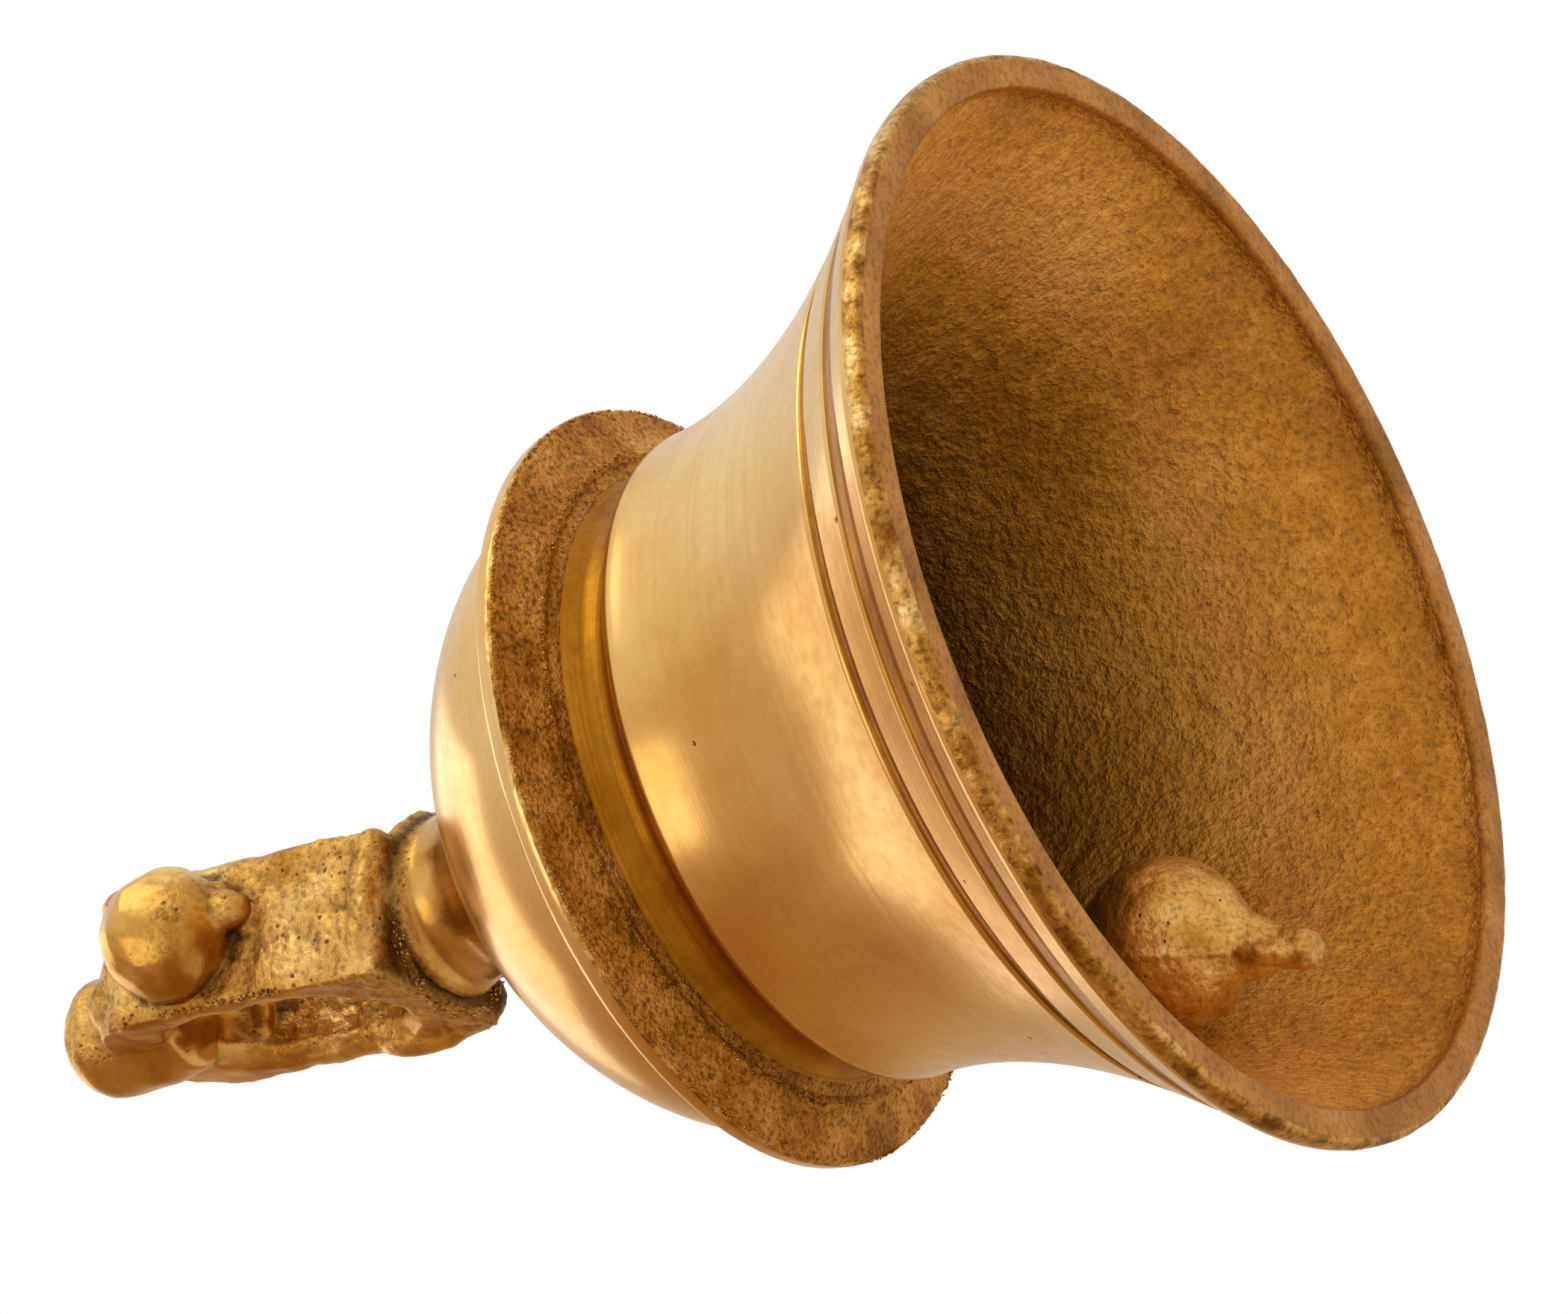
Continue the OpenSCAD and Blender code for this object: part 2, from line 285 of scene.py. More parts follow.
    @staticmethod
    def _raised(tree: bpy.types.NodeTree, base: bpy.types.NodeSocket, layer: bpy.types.NodeSocket,
                depth: float) -> bpy.types.NodeSocket:
        """Adds a layer to a value, scaled by a depth."""
        return combine(tree, "ADD", base, combine(tree, "MULTIPLY", layer, depth))

    @staticmethod
    def _toward(tree: bpy.types.NodeTree, colour: bpy.types.NodeSocket, code: str,
                share: bpy.types.NodeSocket) -> bpy.types.NodeSocket:
        """Mixes a colour towards a fixed one by a share, and returns the result."""
        mix = add_node(tree, "ShaderNodeMix", {0: share, 6: colour, 7: linear(code)}, data_type="RGBA")
        return mix.outputs[2]


# Buffed casting brass: warm and bright, with soft broken reflections and faint wheel marks.
POLISHED = BrassFinish("polished_brass", "#ECC582", "#E1B469", "#CE9A4A", "#6B430F", 0.21, 0.05, cloud_mm=34,
                       grain_mm=1.6, grain_depth=0.006, grain_tint=0.05, pit_mm=6.5, pit_size=0.08,
                       ring_mm=0.9, ring_depth=0.012, ring_tint=0.3)
# The neck groove as the turning tool left it: satin, amber, with close lines.
TURNED = BrassFinish("turned_brass", "#BE8428", "#A97018", "#8C580C", "#4A2A06", 0.33, 0.06, cloud_mm=14,
                     grain_depth=0.004, grain_tint=0.15, ring_mm=0.3, ring_depth=0.03, ring_tint=0.6)
# The lip, filed flat: dull amber with a coarse drag of the file.
FILED = BrassFinish("filed_brass", "#D9A258", "#C48C48", "#A67436", "#5A3610", 0.44, 0.08, cloud_mm=14,
                    grain_mm=0.8, grain_depth=0.12, grain_tint=0.4, pit_mm=3.0, pit_size=0.10, metal=0.95)
# Raw outer skin left at the lip's edge by the sand.
EDGE_SKIN = BrassFinish("rough_edge_brass", "#F0CC86", "#CC9A48", "#8E5C1C", "#4A2A08", 0.34, 0.08, cloud_mm=4,
                        grain_mm=0.8, grain_depth=0.16, grain_tint=0.6)
# Sand-cast skin: gritty, brown in its hollows, with a painted highlight on the tops of its raised grains.
CAST_SKIN = BrassFinish("sand_cast_brass", "#F0B65A", "#D89A3C", "#AE7424", "#432405", 0.44, 0.10, cloud_mm=7,
                        grain_mm=0.6, grain_depth=0.40, grain_tint=0.55, clump_mm=1.2, clump_depth=0.45,
                        metal=0.95)
# The inside of the bell: the same sand skin, browner, with a painted highlight on its raised grains and painted
# shade that darkens it deeper in, towards the crown.
INSIDE_SKIN = BrassFinish("sand_cast_inside_brass", "#F8BE60", "#E0A445", "#BE842E", "#3A1C02", 0.47, 0.10,
                          cloud_mm=30, grain_mm=0.8, grain_depth=0.40, grain_tint=0.32, clump_mm=2.2,
                          clump_depth=0.9, deep_z=(10.0, 60.0), deep_shade_share=0.86, metal=0.95)
# The loop's casting: polished on its high faces, pitted sand skin elsewhere, with painted shade in its hollows
# and along the collar crease.
LOOP_CASTING = BrassFinish("part_polished_casting_brass", "#E9BF74", "#D3A352", "#B37E30", "#43240A", 0.25,
                           0.06, cloud_mm=11, grain_mm=0.8, grain_depth=0.22, grain_tint=0.5, pit_mm=1.1,
                           pit_size=0.38, masked=True)
# The clapper: raw casting, dull gold with dark specks, and painted shade in its hollows.
CLAPPER_SKIN = BrassFinish("raw_casting_brass", "#F8D488", "#EBBB66", "#C48E38", "#43240A", 0.38, 0.09,
                           cloud_mm=6, grain_mm=0.6, grain_depth=0.14, grain_tint=0.4, pit_mm=1.5, pit_size=0.2,
                           cavity=True)
# Stamped washer brass, dull from handling.
WASHER_BRASS = BrassFinish("dull_stamped_brass", "#C89B52", "#A97B36", "#86591E", "#3A2004", 0.36, 0.08,
                           cloud_mm=5, grain_depth=0.03, grain_tint=0.4, pit_mm=2.0, pit_size=0.14)
# Plain steel fastener, darkened with age. It is a grey metal, so the same layers serve it.
DARK_STEEL = BrassFinish("darkened_steel", "#8C857B", "#6B645B", "#4A433B", "#1E1811", 0.40, 0.10, cloud_mm=4,
                         grain_depth=0.03, grain_tint=0.5, pit_mm=1.6, pit_size=0.2)
# Bent steel wire, drawn smooth and a little rusty.
WIRE_STEEL = BrassFinish("drawn_steel_wire", "#9A9186", "#786E61", "#574737", "#2A1A0E", 0.34, 0.08, cloud_mm=3,
                         grain_depth=0.02, grain_tint=0.4)

REGION_FINISH = {Region.POLISHED: POLISHED, Region.TURNED: TURNED, Region.LIP: FILED, Region.EDGE: EDGE_SKIN,
                 Region.CAST: CAST_SKIN, Region.INSIDE: INSIDE_SKIN}


def arc(centre: Point, radius: float, start: float, end: float, steps: int) -> list[Point]:
    """Points of an arc in a profile's plane.

    Args:
        centre: radius and height of the arc's middle.
        radius: its radius.
        start: first angle in degrees, from the outward direction towards up.
        end: last angle.
        steps: number of chords.

    Returns:
        Points as (radius, height).
    """
    turns = [math.radians(start + (end - start) * i / steps) for i in range(steps + 1)]
    return [(centre[0] + radius * math.cos(t), centre[1] + radius * math.sin(t)) for t in turns]


@dataclass
class Profile:
    """A closed outline to turn round the Z axis, with a finish and a rawness for each stretch."""

    points: list[Point] = field(default_factory=list)
    regions: list[Region] = field(default_factory=list)
    rawness: list[float] = field(default_factory=list)

    def run(self, points: list[Point], region: Region, raw: float = 0.0, step: float = 1.0) -> None:
        """Adds points, with more between them where they are far apart.

        Args:
            points: corners, as (radius, height).
            region: finish of the stretch that ends at each of these points.
            raw: how much the cast grain lifts the surface here.
            step: longest chord to leave.
        """
        for target in points:
            if self.points:
                last = self.points[-1]
                pieces = max(1, math.ceil(math.dist(last, target) / step))
            else:
                last, pieces = target, 1
            for i in range(1, pieces + 1):
                share = i / pieces
                self.points.append(tuple(a + (b - a) * share for a, b in zip(last, target)))
                self.regions.append(region)
                self.rawness.append(raw)

    def as_mesh(self, name: str) -> bpy.types.Mesh:
        """Makes the loose points, with their region and rawness as attributes, closed on the first one."""
        pts = self.points + [self.points[0]]
        mesh = bpy.data.meshes.new(name)
        mesh.from_pydata([(r * MM, 0.0, z * MM) for r, z in pts], [], [])
        regions = [region.value for region in self.regions]
        for label, kind, values in (("finish", "INT", regions), ("raw", "FLOAT", self.rawness)):
            mesh.attributes.new(label, kind, "POINT").data.foreach_set("value", values + values[:1])
        return mesh


class GeometryTree:
    """A Geometry Nodes tree with named inputs, applied to an object and turned to a plain mesh."""

    def __init__(self, name: str, sockets: dict[str, str]) -> None:
        """Starts the tree.

        Args:
            name: the tree's name.
            sockets: input names, each with its socket type.
        """
        self.tree = bpy.data.node_groups.new(name, "GeometryNodeTree")
        self.tree.interface.new_socket(name="Geometry", in_out="INPUT", socket_type="NodeSocketGeometry")
        for label, kind in sockets.items():
            self.tree.interface.new_socket(name=label, in_out="INPUT", socket_type=kind)
        self.tree.interface.new_socket(name="Geometry", in_out="OUTPUT", socket_type="NodeSocketGeometry")
        self.given = add_node(self.tree, "NodeGroupInput").outputs

    def add(self, kind: str, inputs: dict | None = None, **settings) -> bpy.types.Node:
        """Adds a node to this tree."""
        return add_node(self.tree, kind, inputs, **settings)

    def math(self, operation: str, *values) -> bpy.types.NodeSocket:
        """Adds a Math node to this tree and returns its output."""
        return combine(self.tree, operation, *values)

    def vector(self, x: object, y: object, z: object) -> bpy.types.NodeSocket:
        """Makes a vector of three values."""
        return self.add("ShaderNodeCombineXYZ", {0: x, 1: y, 2: z}).outputs[0]

    def moved(self, geometry: bpy.types.NodeSocket, **where) -> bpy.types.NodeSocket:
        """Sets or offsets the position of a geometry's points."""
        return self.add("GeometryNodeSetPosition", {"Geometry": geometry, **where}).outputs[0]

    def smooth(self, geometry: bpy.types.NodeSocket) -> bpy.types.NodeSocket:
        """Shades a geometry smooth."""
        return self.add("GeometryNodeSetShadeSmooth", {"Geometry": geometry, "Shade Smooth": True}).outputs[0]

    def named(self, name: str, kind: str) -> bpy.types.NodeSocket:
        """Reads an attribute by its name."""
        return self.add("GeometryNodeInputNamedAttribute", {"Name": name}, data_type=kind).outputs[0]

    def finish(self, geometry: bpy.types.NodeSocket,
               materials: list[tuple[bpy.types.Material, object]]) -> None:
        """Ends the tree in Realize Instances and Set Material.

        Args:
            geometry: what the tree has made.
            materials: each material with the selection that takes it.
        """
        flow = self.add("GeometryNodeRealizeInstances", {"Geometry": geometry}).outputs[0]
        for material, chosen in materials:
            dress = self.add("GeometryNodeSetMaterial", {"Geometry": flow, "Selection": chosen})
            dress.inputs["Material"].default_value = material
            flow = dress.outputs[0]
        self.add("NodeGroupOutput", {"Geometry": flow})

    def make(self, name: str, base: bpy.types.Mesh, values: dict[str, object]) -> bpy.types.Object:
        """Runs the tree on a mesh and keeps the result as a plain mesh.

        Args:
            name: name of the finished piece.
            base: mesh that the tree starts from.
            values: input names with their values.

        Returns:
            The finished object, at the origin, with no modifier left.
        """
        carrier = show(name + "_tree", base)
        modifier = carrier.modifiers.new("tree", "NODES")
        modifier.node_group = self.tree
        for item in self.tree.interface.items_tree:
            if item.in_out == "INPUT" and item.name in values:
                modifier[item.identifier] = values[item.name]
        mesh = evaluated(carrier)
        bpy.data.objects.remove(carrier)
        return show(name, mesh)


class TurningTree(GeometryTree):
    """Turns a profile round the Z axis and lifts its raw stretches into cast grain."""

    def __init__(self) -> None:
        """Builds the tree."""
        super().__init__("turned_casting", {
            "Segments": "NodeSocketInt", "Grain Size": "NodeSocketFloat", "Grain Height": "NodeSocketFloat",
            "Seed": "NodeSocketFloat"})
        profile, segments = self.given["Geometry"], self.given["Segments"]
        count = self.add("GeometryNodeAttributeDomainSize", {"Geometry": profile}, component="MESH").outputs[0]
        grid = self.add("GeometryNodeMeshGrid", {
            "Vertices X": self.math("ADD", segments, 1.0), "Vertices Y": count})
        index = self.add("GeometryNodeInputIndex").outputs[0]
        column = self.math("FLOOR", self.math("DIVIDE", self.math("ADD", index, 0.5), count))
        row = self.math("SUBTRACT", index, self.math("MULTIPLY", column, count))
        place = self.add("GeometryNodeInputPosition").outputs[0]
        outline = self._sample(profile, "FLOAT_VECTOR", place, row)
        parts = self.add("ShaderNodeSeparateXYZ", {0: outline}).outputs
        turn = self.math("MULTIPLY", self.math("DIVIDE", column, segments), math.tau)
        spot = self.vector(self.math("MULTIPLY", parts[0], self.math("COSINE", turn)),
                           self.math("MULTIPLY", parts[0], self.math("SINE", turn)), parts[2])
        rawness = self._sample(profile, "FLOAT", self.named("raw", "FLOAT"), row)
        kept = self.add("GeometryNodeStoreNamedAttribute", {
            "Geometry": grid.outputs[0], "Name": "raw", "Value": rawness}, data_type="FLOAT", domain="POINT")
        faces = self.math("SUBTRACT", count, 1.0)
        strip = self.math("FLOOR", self.math("DIVIDE", self.math("ADD", index, 0.5), faces))
        face_row = self.math("ADD", self.math("SUBTRACT", index, self.math("MULTIPLY", strip, faces)), 1.0)
        finish = self._sample(profile, "INT", self.named("finish", "INT"), face_row)
        marked = self.add("GeometryNodeStoreNamedAttribute", {
            "Geometry": kept.outputs[0], "Name": "finish", "Value": finish}, data_type="INT", domain="FACE")
        turned = self.moved(marked.outputs[0], Position=spot)
        closed = self.add("GeometryNodeMergeByDistance", {"Geometry": turned, "Distance": SEAM_GAP})
        self._roughen(closed.outputs[0])

    def _sample(self, source: bpy.types.NodeSocket, kind: str, value: bpy.types.NodeSocket,
                index: bpy.types.NodeSocket) -> bpy.types.NodeSocket:
        """Reads a value of the profile at a point's number."""
        return self.add("GeometryNodeSampleIndex", {"Geometry": source, "Value": value, "Index": index},
                        data_type=kind, domain="POINT").outputs[0]

    def _roughen(self, geometry: bpy.types.NodeSocket) -> None:
        """Lifts the raw stretches along their normals, and dresses each stretch in its finish."""
        where = self.add("GeometryNodeInputPosition").outputs[0]
        shift = self.add("ShaderNodeVectorMath", {0: where, 1: self.given["Seed"]}, operation="ADD").outputs[0]
        grain = speckle(self.tree, shift, self.math("DIVIDE", 1.0, self.given["Grain Size"]), 3.0, 0.6)
        lift = self.math("MULTIPLY", self.math("SUBTRACT", grain, 0.5), self.named("raw", "FLOAT"))
        lift = self.math("MULTIPLY", lift, self.given["Grain Height"])
        normal = self.add("GeometryNodeInputNormal").outputs[0]
        push = self.add("ShaderNodeVectorMath", {0: normal, "Scale": lift}, operation="SCALE").outputs[0]
        skin = self.smooth(self.moved(geometry, Offset=push))
        mark = self.named("finish", "INT")
        dressed = []
        for region, finish in REGION_FINISH.items():
            same = self.add("FunctionNodeCompare", {2: mark, 3: region.value}, data_type="INT",
                            operation="EQUAL")
            dressed.append((finish.material(), same.outputs[0]))
        self.finish(skin, dressed)


class BurrTree(GeometryTree):
    """Scatters small cast burrs along a line, for ragged edges that the sand and the lathe leave."""

    def __init__(self, finish: BrassFinish) -> None:
        """Builds the tree.

        Args:
            finish: finish of the burrs.
        """
        super().__init__("cast_burrs_" + finish.name, {
            "Count": "NodeSocketInt", "Burr Size": "NodeSocketFloat", "Scatter": "NodeSocketFloat",
            "Seed": "NodeSocketInt"})
        seed = self.given["Seed"]
        line = self.add("GeometryNodeMeshToCurve", {"Mesh": self.given["Geometry"]})
        dots = self.add("GeometryNodeResampleCurve", {"Curve": line.outputs[0], "Count": self.given["Count"]})
        reach = self.given["Scatter"]
        back = self.math("MULTIPLY", reach, -1.0)
        jitter = self._random(self.vector(back, back, back), self.vector(reach, reach, reach), seed)
        spread = self.moved(dots.outputs[0], Offset=jitter)
        bead = self.add("GeometryNodeMeshIcoSphere", {"Radius": 1.0, "Subdivisions": 2})
        size = self.given["Burr Size"]
        small = self.math("MULTIPLY", size, 0.35)
        scale = self._random(self.vector(small, small, small), self.vector(size, size, size),
                             self.math("ADD", seed, 7.0))
        turn = self._random((0.0, 0.0, 0.0), (math.tau, math.tau, math.tau), self.math("ADD", seed, 13.0))
        made = self.add("GeometryNodeInstanceOnPoints", {
            "Points": spread, "Instance": bead.outputs[0], "Rotation": turn, "Scale": scale})
        whole = self.add("GeometryNodeRealizeInstances", {"Geometry": made.outputs[0]}).outputs[0]
        self.finish(self.smooth(whole), [(finish.material(), True)])

    def _random(self, low: object, high: object, seed: bpy.types.NodeSocket) -> bpy.types.NodeSocket:
        """A random vector for each point, between two corners."""
        return self.add("FunctionNodeRandomValue", {0: low, 1: high, "Seed": seed},
                        data_type="FLOAT_VECTOR").outputs[0]


class ThreadTree(GeometryTree):
    """Winds a screw thread round a shank."""

    def __init__(self, finish: BrassFinish) -> None:
        """Builds the tree.

        Args:
            finish: finish of the thread.
        """
        super().__init__("screw_thread", {
            "Turns": "NodeSocketFloat", "Radius": "NodeSocketFloat", "Length": "NodeSocketFloat",
            "Foot": "NodeSocketFloat", "Ridge": "NodeSocketFloat"})
        helix = self.add("GeometryNodeCurveSpiral", {
            "Resolution": 40, "Rotations": self.given["Turns"], "Start Radius": self.given["Radius"],
            "End Radius": self.given["Radius"], "Height": self.given["Length"]})
        ridge = self.add("GeometryNodeCurvePrimitiveCircle", {"Resolution": 6, "Radius": self.given["Ridge"]},
                         mode="RADIUS")
        body = self.add("GeometryNodeCurveToMesh", {
            "Curve": helix.outputs[0], "Profile Curve": ridge.outputs[0], "Fill Caps": True})
        placed = self.moved(body.outputs[0], Offset=self.vector(0.0, 0.0, self.given["Foot"]))
        self.finish(placed, [(finish.material(), True)])


def line_mesh(name: str, points: list[Vector], closed: bool) -> bpy.types.Mesh:
    """A run of edges through points, for the burrs to follow.

    Args:
        name: name of the mesh.
        points: places in metres.
        closed: whether the last point joins the first.

    Returns:
        The mesh.
    """
    mesh = bpy.data.meshes.new(name)
    edges = [(i, i + 1) for i in range(len(points) - 1)]
    if closed:
        edges.append((len(points) - 1, 0))
    mesh.from_pydata([tuple(p) for p in points], edges, [])
    return mesh


def ring_points(radius: float, height: float, wobble: float, seed: float, count: int = 360) -> list[Vector]:
    """Points round the Z axis that wander a little, as a hand-cleaned edge does."""
    points = []
    for i in range(count):
        turn = math.tau * i / count
        shift = wobble * noise.noise(Vector((6 * math.cos(turn), 6 * math.sin(turn), seed)))
        lift = wobble * noise.noise(Vector((6 * math.cos(turn), 6 * math.sin(turn), seed + 9)))
        reach = radius + shift
        points.append(Vector((reach * math.cos(turn), reach * math.sin(turn), height + lift)) * MM)
    return points


@dataclass
class BellBody:
    """The body's casting: flare, waist, groove, flange and crown, and the rough inside."""

    mouth_r: float = 62.5
    wall: float = 4.0
    waist_r: float = 38.4
    waist_z: float = 50.0
    flare_power: float = 1.75
    lip_top: float = 2.6
    line_z: tuple[float, float] = (7.3, 14.6)
    line_w: tuple[float, float] = (3.2, 1.8)
    line_depth: float = 0.5
    shoulder_r: float = 1.9
    groove_bottom_r: float = 34.0
    groove_tool_r: float = 4.2
    groove_z: float = 55.3
    flange_r: float = 44.5
    flange_z: float = 61.8
    flange_t: float = 2.6
    dome_r: float = 39.9
    seat_r: float = 20.8
    crown_z: float = 88.0
    crown_t: float = 4.5
    bore_r: float = 4.3
    flat_r: float = 12.0

    def flare(self, z: float) -> float:
        """Outer radius of the flare at a height."""
        swell = (self.mouth_r + 2.2 - self.waist_r) * max(0.0, 1 - z / self.waist_z) ** self.flare_power
        return self.waist_r + swell

    def dome(self, z: float) -> float:
        """Outer radius of the crown's dome at a height."""
        foot = self.flange_z + self.flange_t
        share = (z - foot) / (self.crown_z - foot)
        return math.sqrt(self.dome_r ** 2 - (self.dome_r ** 2 - self.seat_r ** 2) * share ** 1.6)

    def flare_run(self, start: float, end: float, steps: int) -> list[Point]:
        """Points of the flare between two heights."""
        heights = [start + (end - start) * i / steps for i in range(steps + 1)]
        return [(self.flare(z), z) for z in heights]

    def outline(self) -> Profile:
        """The whole closed outline of the casting without its flange.

        Returns:
            The profile, from the lip round the outside to the bore and back down the inside.
        """
        shape = Profile()
        shape.run([(self.mouth_r - self.wall, 0.25), (self.mouth_r - self.wall + 0.25, 0.0)], Region.LIP, 0.15)
        shape.run([(self.mouth_r - 0.75, 0.0)], Region.LIP, 0.15, 0.5)
        shape.run([(self.mouth_r - 0.35, 0.12), (self.mouth_r - 0.1, 0.5), (self.mouth_r, 1.0)],
                  Region.EDGE, 0.5)
        shape.run([(self.mouth_r - 0.05, 1.9), (self.mouth_r - 0.2, 2.3)], Region.EDGE, 0.7, 0.45)
        shape.run([(self.flare(self.lip_top + 0.2), self.lip_top + 0.2)], Region.POLISHED, 0.0, 0.4)
        last = self.lip_top + 0.2
        for z, width in zip(self.line_z, self.line_w):
            low, high, ease = z - width / 2, z + width / 2, width * 0.22
            shape.run(self.flare_run(last, low, 6)[1:], Region.POLISHED, 0.0, 0.8)
            cut = self.line_depth
            shape.run([(self.flare(low + ease * 0.5) - cut * 0.55, low + ease * 0.5),
                       (self.flare(low + ease) - cut, low + ease),
                       (self.flare(high - ease) - cut * 0.9, high - ease),
                       (self.flare(high - ease * 0.5) - cut * 0.5, high - ease * 0.5)], Region.TURNED, 0.0, 0.5)
            shape.run([(self.flare(high), high)], Region.POLISHED, 0.0, 0.5)
            last = high
        shape.run(self.flare_run(last, self.waist_z - 0.8, 26)[1:], Region.POLISHED, 0.0, 1.2)
        shoulder = (self.waist_r - self.shoulder_r, self.waist_z + 0.5)
        shape.run(arc(shoulder, self.shoulder_r, 8, 84, 9), Region.POLISHED)
        tool = (self.groove_bottom_r + self.groove_tool_r, self.groove_z)
        shape.run(arc(tool, self.groove_tool_r, 231, 126, 16), Region.TURNED)
        shape.run([(35.75, 58.75), (35.95, 58.95)], Region.TURNED)
        shape.run([(36.4, 59.1), (36.4, 63.6)], Region.CAST, 0.0, 1.2)
        foot = self.flange_z + self.flange_t
        shape.run([(self.dome_r - 0.3, foot - 0.6)], Region.POLISHED, 0.0, 1.2)
        steps = 26
        climb = [foot + (self.crown_z - 0.35 - foot) * i / steps for i in range(steps + 1)]
        shape.run([(self.dome(z), z) for z in climb], Region.POLISHED)
        shape.run([(self.seat_r - 0.5, self.crown_z - 0.1), (self.bore_r, self.crown_z)], Region.CAST, 0.0, 3.0)
        top = self.crown_z - self.crown_t
        shape.run([(self.bore_r, top)], Region.INSIDE, 0.0, 2.5)
        throat = self.groove_bottom_r - self.wall + 0.4
        cup = foot + 3.0
        shape.run([(self.flat_r, top)], Region.INSIDE, 0.0, 1.5)
        shape.run([(self.flat_r + (throat - self.flat_r) * math.sin(a), cup + (top - cup) * math.cos(a))
                   for a in [math.radians(90 * i / 12) for i in range(1, 13)]], Region.INSIDE, 1.0, 1.4)
        shape.run([(throat, self.waist_z + 3)], Region.INSIDE, 1.0, 1.4)
        steps = 34
        inner = [(max(throat, self.flare(z) - self.wall), z)
                 for z in [self.waist_z - 1 - (self.waist_z - 1 - 1.2) * i / steps for i in range(steps + 1)]]
        shape.run([(min(r, self.mouth_r - self.wall), z) for r, z in inner], Region.INSIDE, 1.0, 1.4)
        return shape

    def flange_outline(self) -> Profile:
        """Closed outline of the flange, rooted in the casting behind the groove.

        Returns:
            The profile, with fine steps where the cast skin and its ragged edges show.
        """
        top = self.flange_z + self.flange_t
        shape = Profile()
        shape.run([(35.2, 59.6), (35.9, 58.98)], Region.TURNED)
        shape.run([(36.3, 59.0), (36.9, 59.25), (37.4, 59.5)], Region.CAST, 0.5, 0.3)
        shape.run([(37.9, 59.35), (38.4, 59.3), (38.9, 59.6)], Region.CAST, 1.7, 0.25)
        shape.run([(41.5, 60.75), (43.4, 61.35)], Region.CAST, 1.1, 0.28)
        shape.run([(44.1, 61.5), (self.flange_r, 61.85)], Region.CAST, 1.7, 0.22)
        shape.run([(self.flange_r + 0.12, 62.25)], Region.EDGE, 1.2, 0.22)
        shape.run([(self.flange_r + 0.1, 62.7), (self.flange_r - 0.15, 63.8)], Region.POLISHED, 0.12, 0.35)
        shape.run([(self.flange_r - 0.6, top - 0.1), (self.flange_r - 1.1, top)], Region.POLISHED, 0.12, 0.4)
        shape.run([(self.dome_r + 1.0, top + 0.05)], Region.POLISHED, 0.1, 0.8)
        shape.run([(self.dome_r - 0.1, top + 0.35), (self.dome_r - 1.6, top - 0.2)], Region.POLISHED, 0.0, 0.5)
        shape.run([(35.2, 63.2)], Region.CAST, 0.0, 2.0)
        return shape

    def build(self, turning: TurningTree) -> list[bpy.types.Object]:
        """Turns the body and its flange, and adds the burrs along the flange's ragged edges.

        Args:
            turning: the tree that turns a profile.

        Returns:
            The pieces.
        """
        body = turning.make("bell_casting", self.outline().as_mesh("bell_outline"), {
            "Segments": 400, "Grain Size": 2.6 * MM, "Grain Height": 0.6 * MM, "Seed": 1.0})
        flange = turning.make("flange_casting", self.flange_outline().as_mesh("flange_outline"), {
            "Segments": 900, "Grain Size": 1.3 * MM, "Grain Height": 0.4 * MM, "Seed": 4.0})
        burrs = BurrTree(EDGE_SKIN)
        rim = burrs.make("flange_rim_burrs", line_mesh("rim_line", ring_points(
            self.flange_r - 0.15, 61.75, 0.35, 2.0), True),
            {"Count": 1100, "Burr Size": 0.2 * MM, "Scatter": 0.14 * MM, "Seed": 3})
        root = burrs.make("flange_root_burrs", line_mesh("root_line", ring_points(38.6, 59.45, 0.4, 5.0), True),
                          {"Count": 800, "Burr Size": 0.22 * MM, "Scatter": 0.16 * MM, "Seed": 11})
        return [body, flange, rim, root]


def ellipsoid(centre: Vector, radii: Vector, turn: Euler | None = None) -> bmesh.types.BMesh:
    """A closed ellipsoid.

    Args:
        centre: its middle, in millimetres.
        radii: half sizes along its own axes.
        turn: how it is turned.

    Returns:
        The mesh, in metres.
    """
    made = bmesh.new()
    bmesh.ops.create_uvsphere(made, u_segments=40, v_segments=24, radius=1.0)
    spin = (turn or Euler((0, 0, 0))).to_matrix().to_4x4()
    place = Matrix.Translation(centre * MM) @ spin @ Matrix.Diagonal((*(radii * MM), 1.0))
    bmesh.ops.transform(made, matrix=place, verts=made.verts)
    return made


def lathe(points: list[Point], segments: int = 72) -> bmesh.types.BMesh:
    """A solid turned round Z from an outline that starts and ends on the axis.

    Args:
        points: (radius, height) in millimetres.
        segments: chords round the axis.

    Returns:
        The mesh, in metres.
    """
    made = bmesh.new()
    rings = []
    for radius, height in points:
        turns = [math.tau * i / segments for i in range(segments)] if radius else [0.0]
        rings.append([made.verts.new(Vector((radius * math.cos(t), radius * math.sin(t), height)) * MM)
                      for t in turns])
    return outward(made, rings, closed=False)


def hanging_ring(radius: float, bar_r: float) -> bmesh.types.BMesh:
    """A closed ring of round bar that hangs from the origin, in metres, from sizes in millimetres."""
    made = bmesh.new()
    steps, section = 60, 36
    rings = []
    for i in range(steps):
        turn = math.tau * i / steps
        out = Vector((0, math.sin(turn), math.cos(turn)))
        middle = out * radius - Vector((0, 0, radius))
        bar = [math.tau * k / section for k in range(section)]
        rings.append([made.verts.new((middle + (out * math.cos(a) + Vector((math.sin(a), 0, 0))) * bar_r) * MM)
                      for a in bar])
    return outward(made, rings)


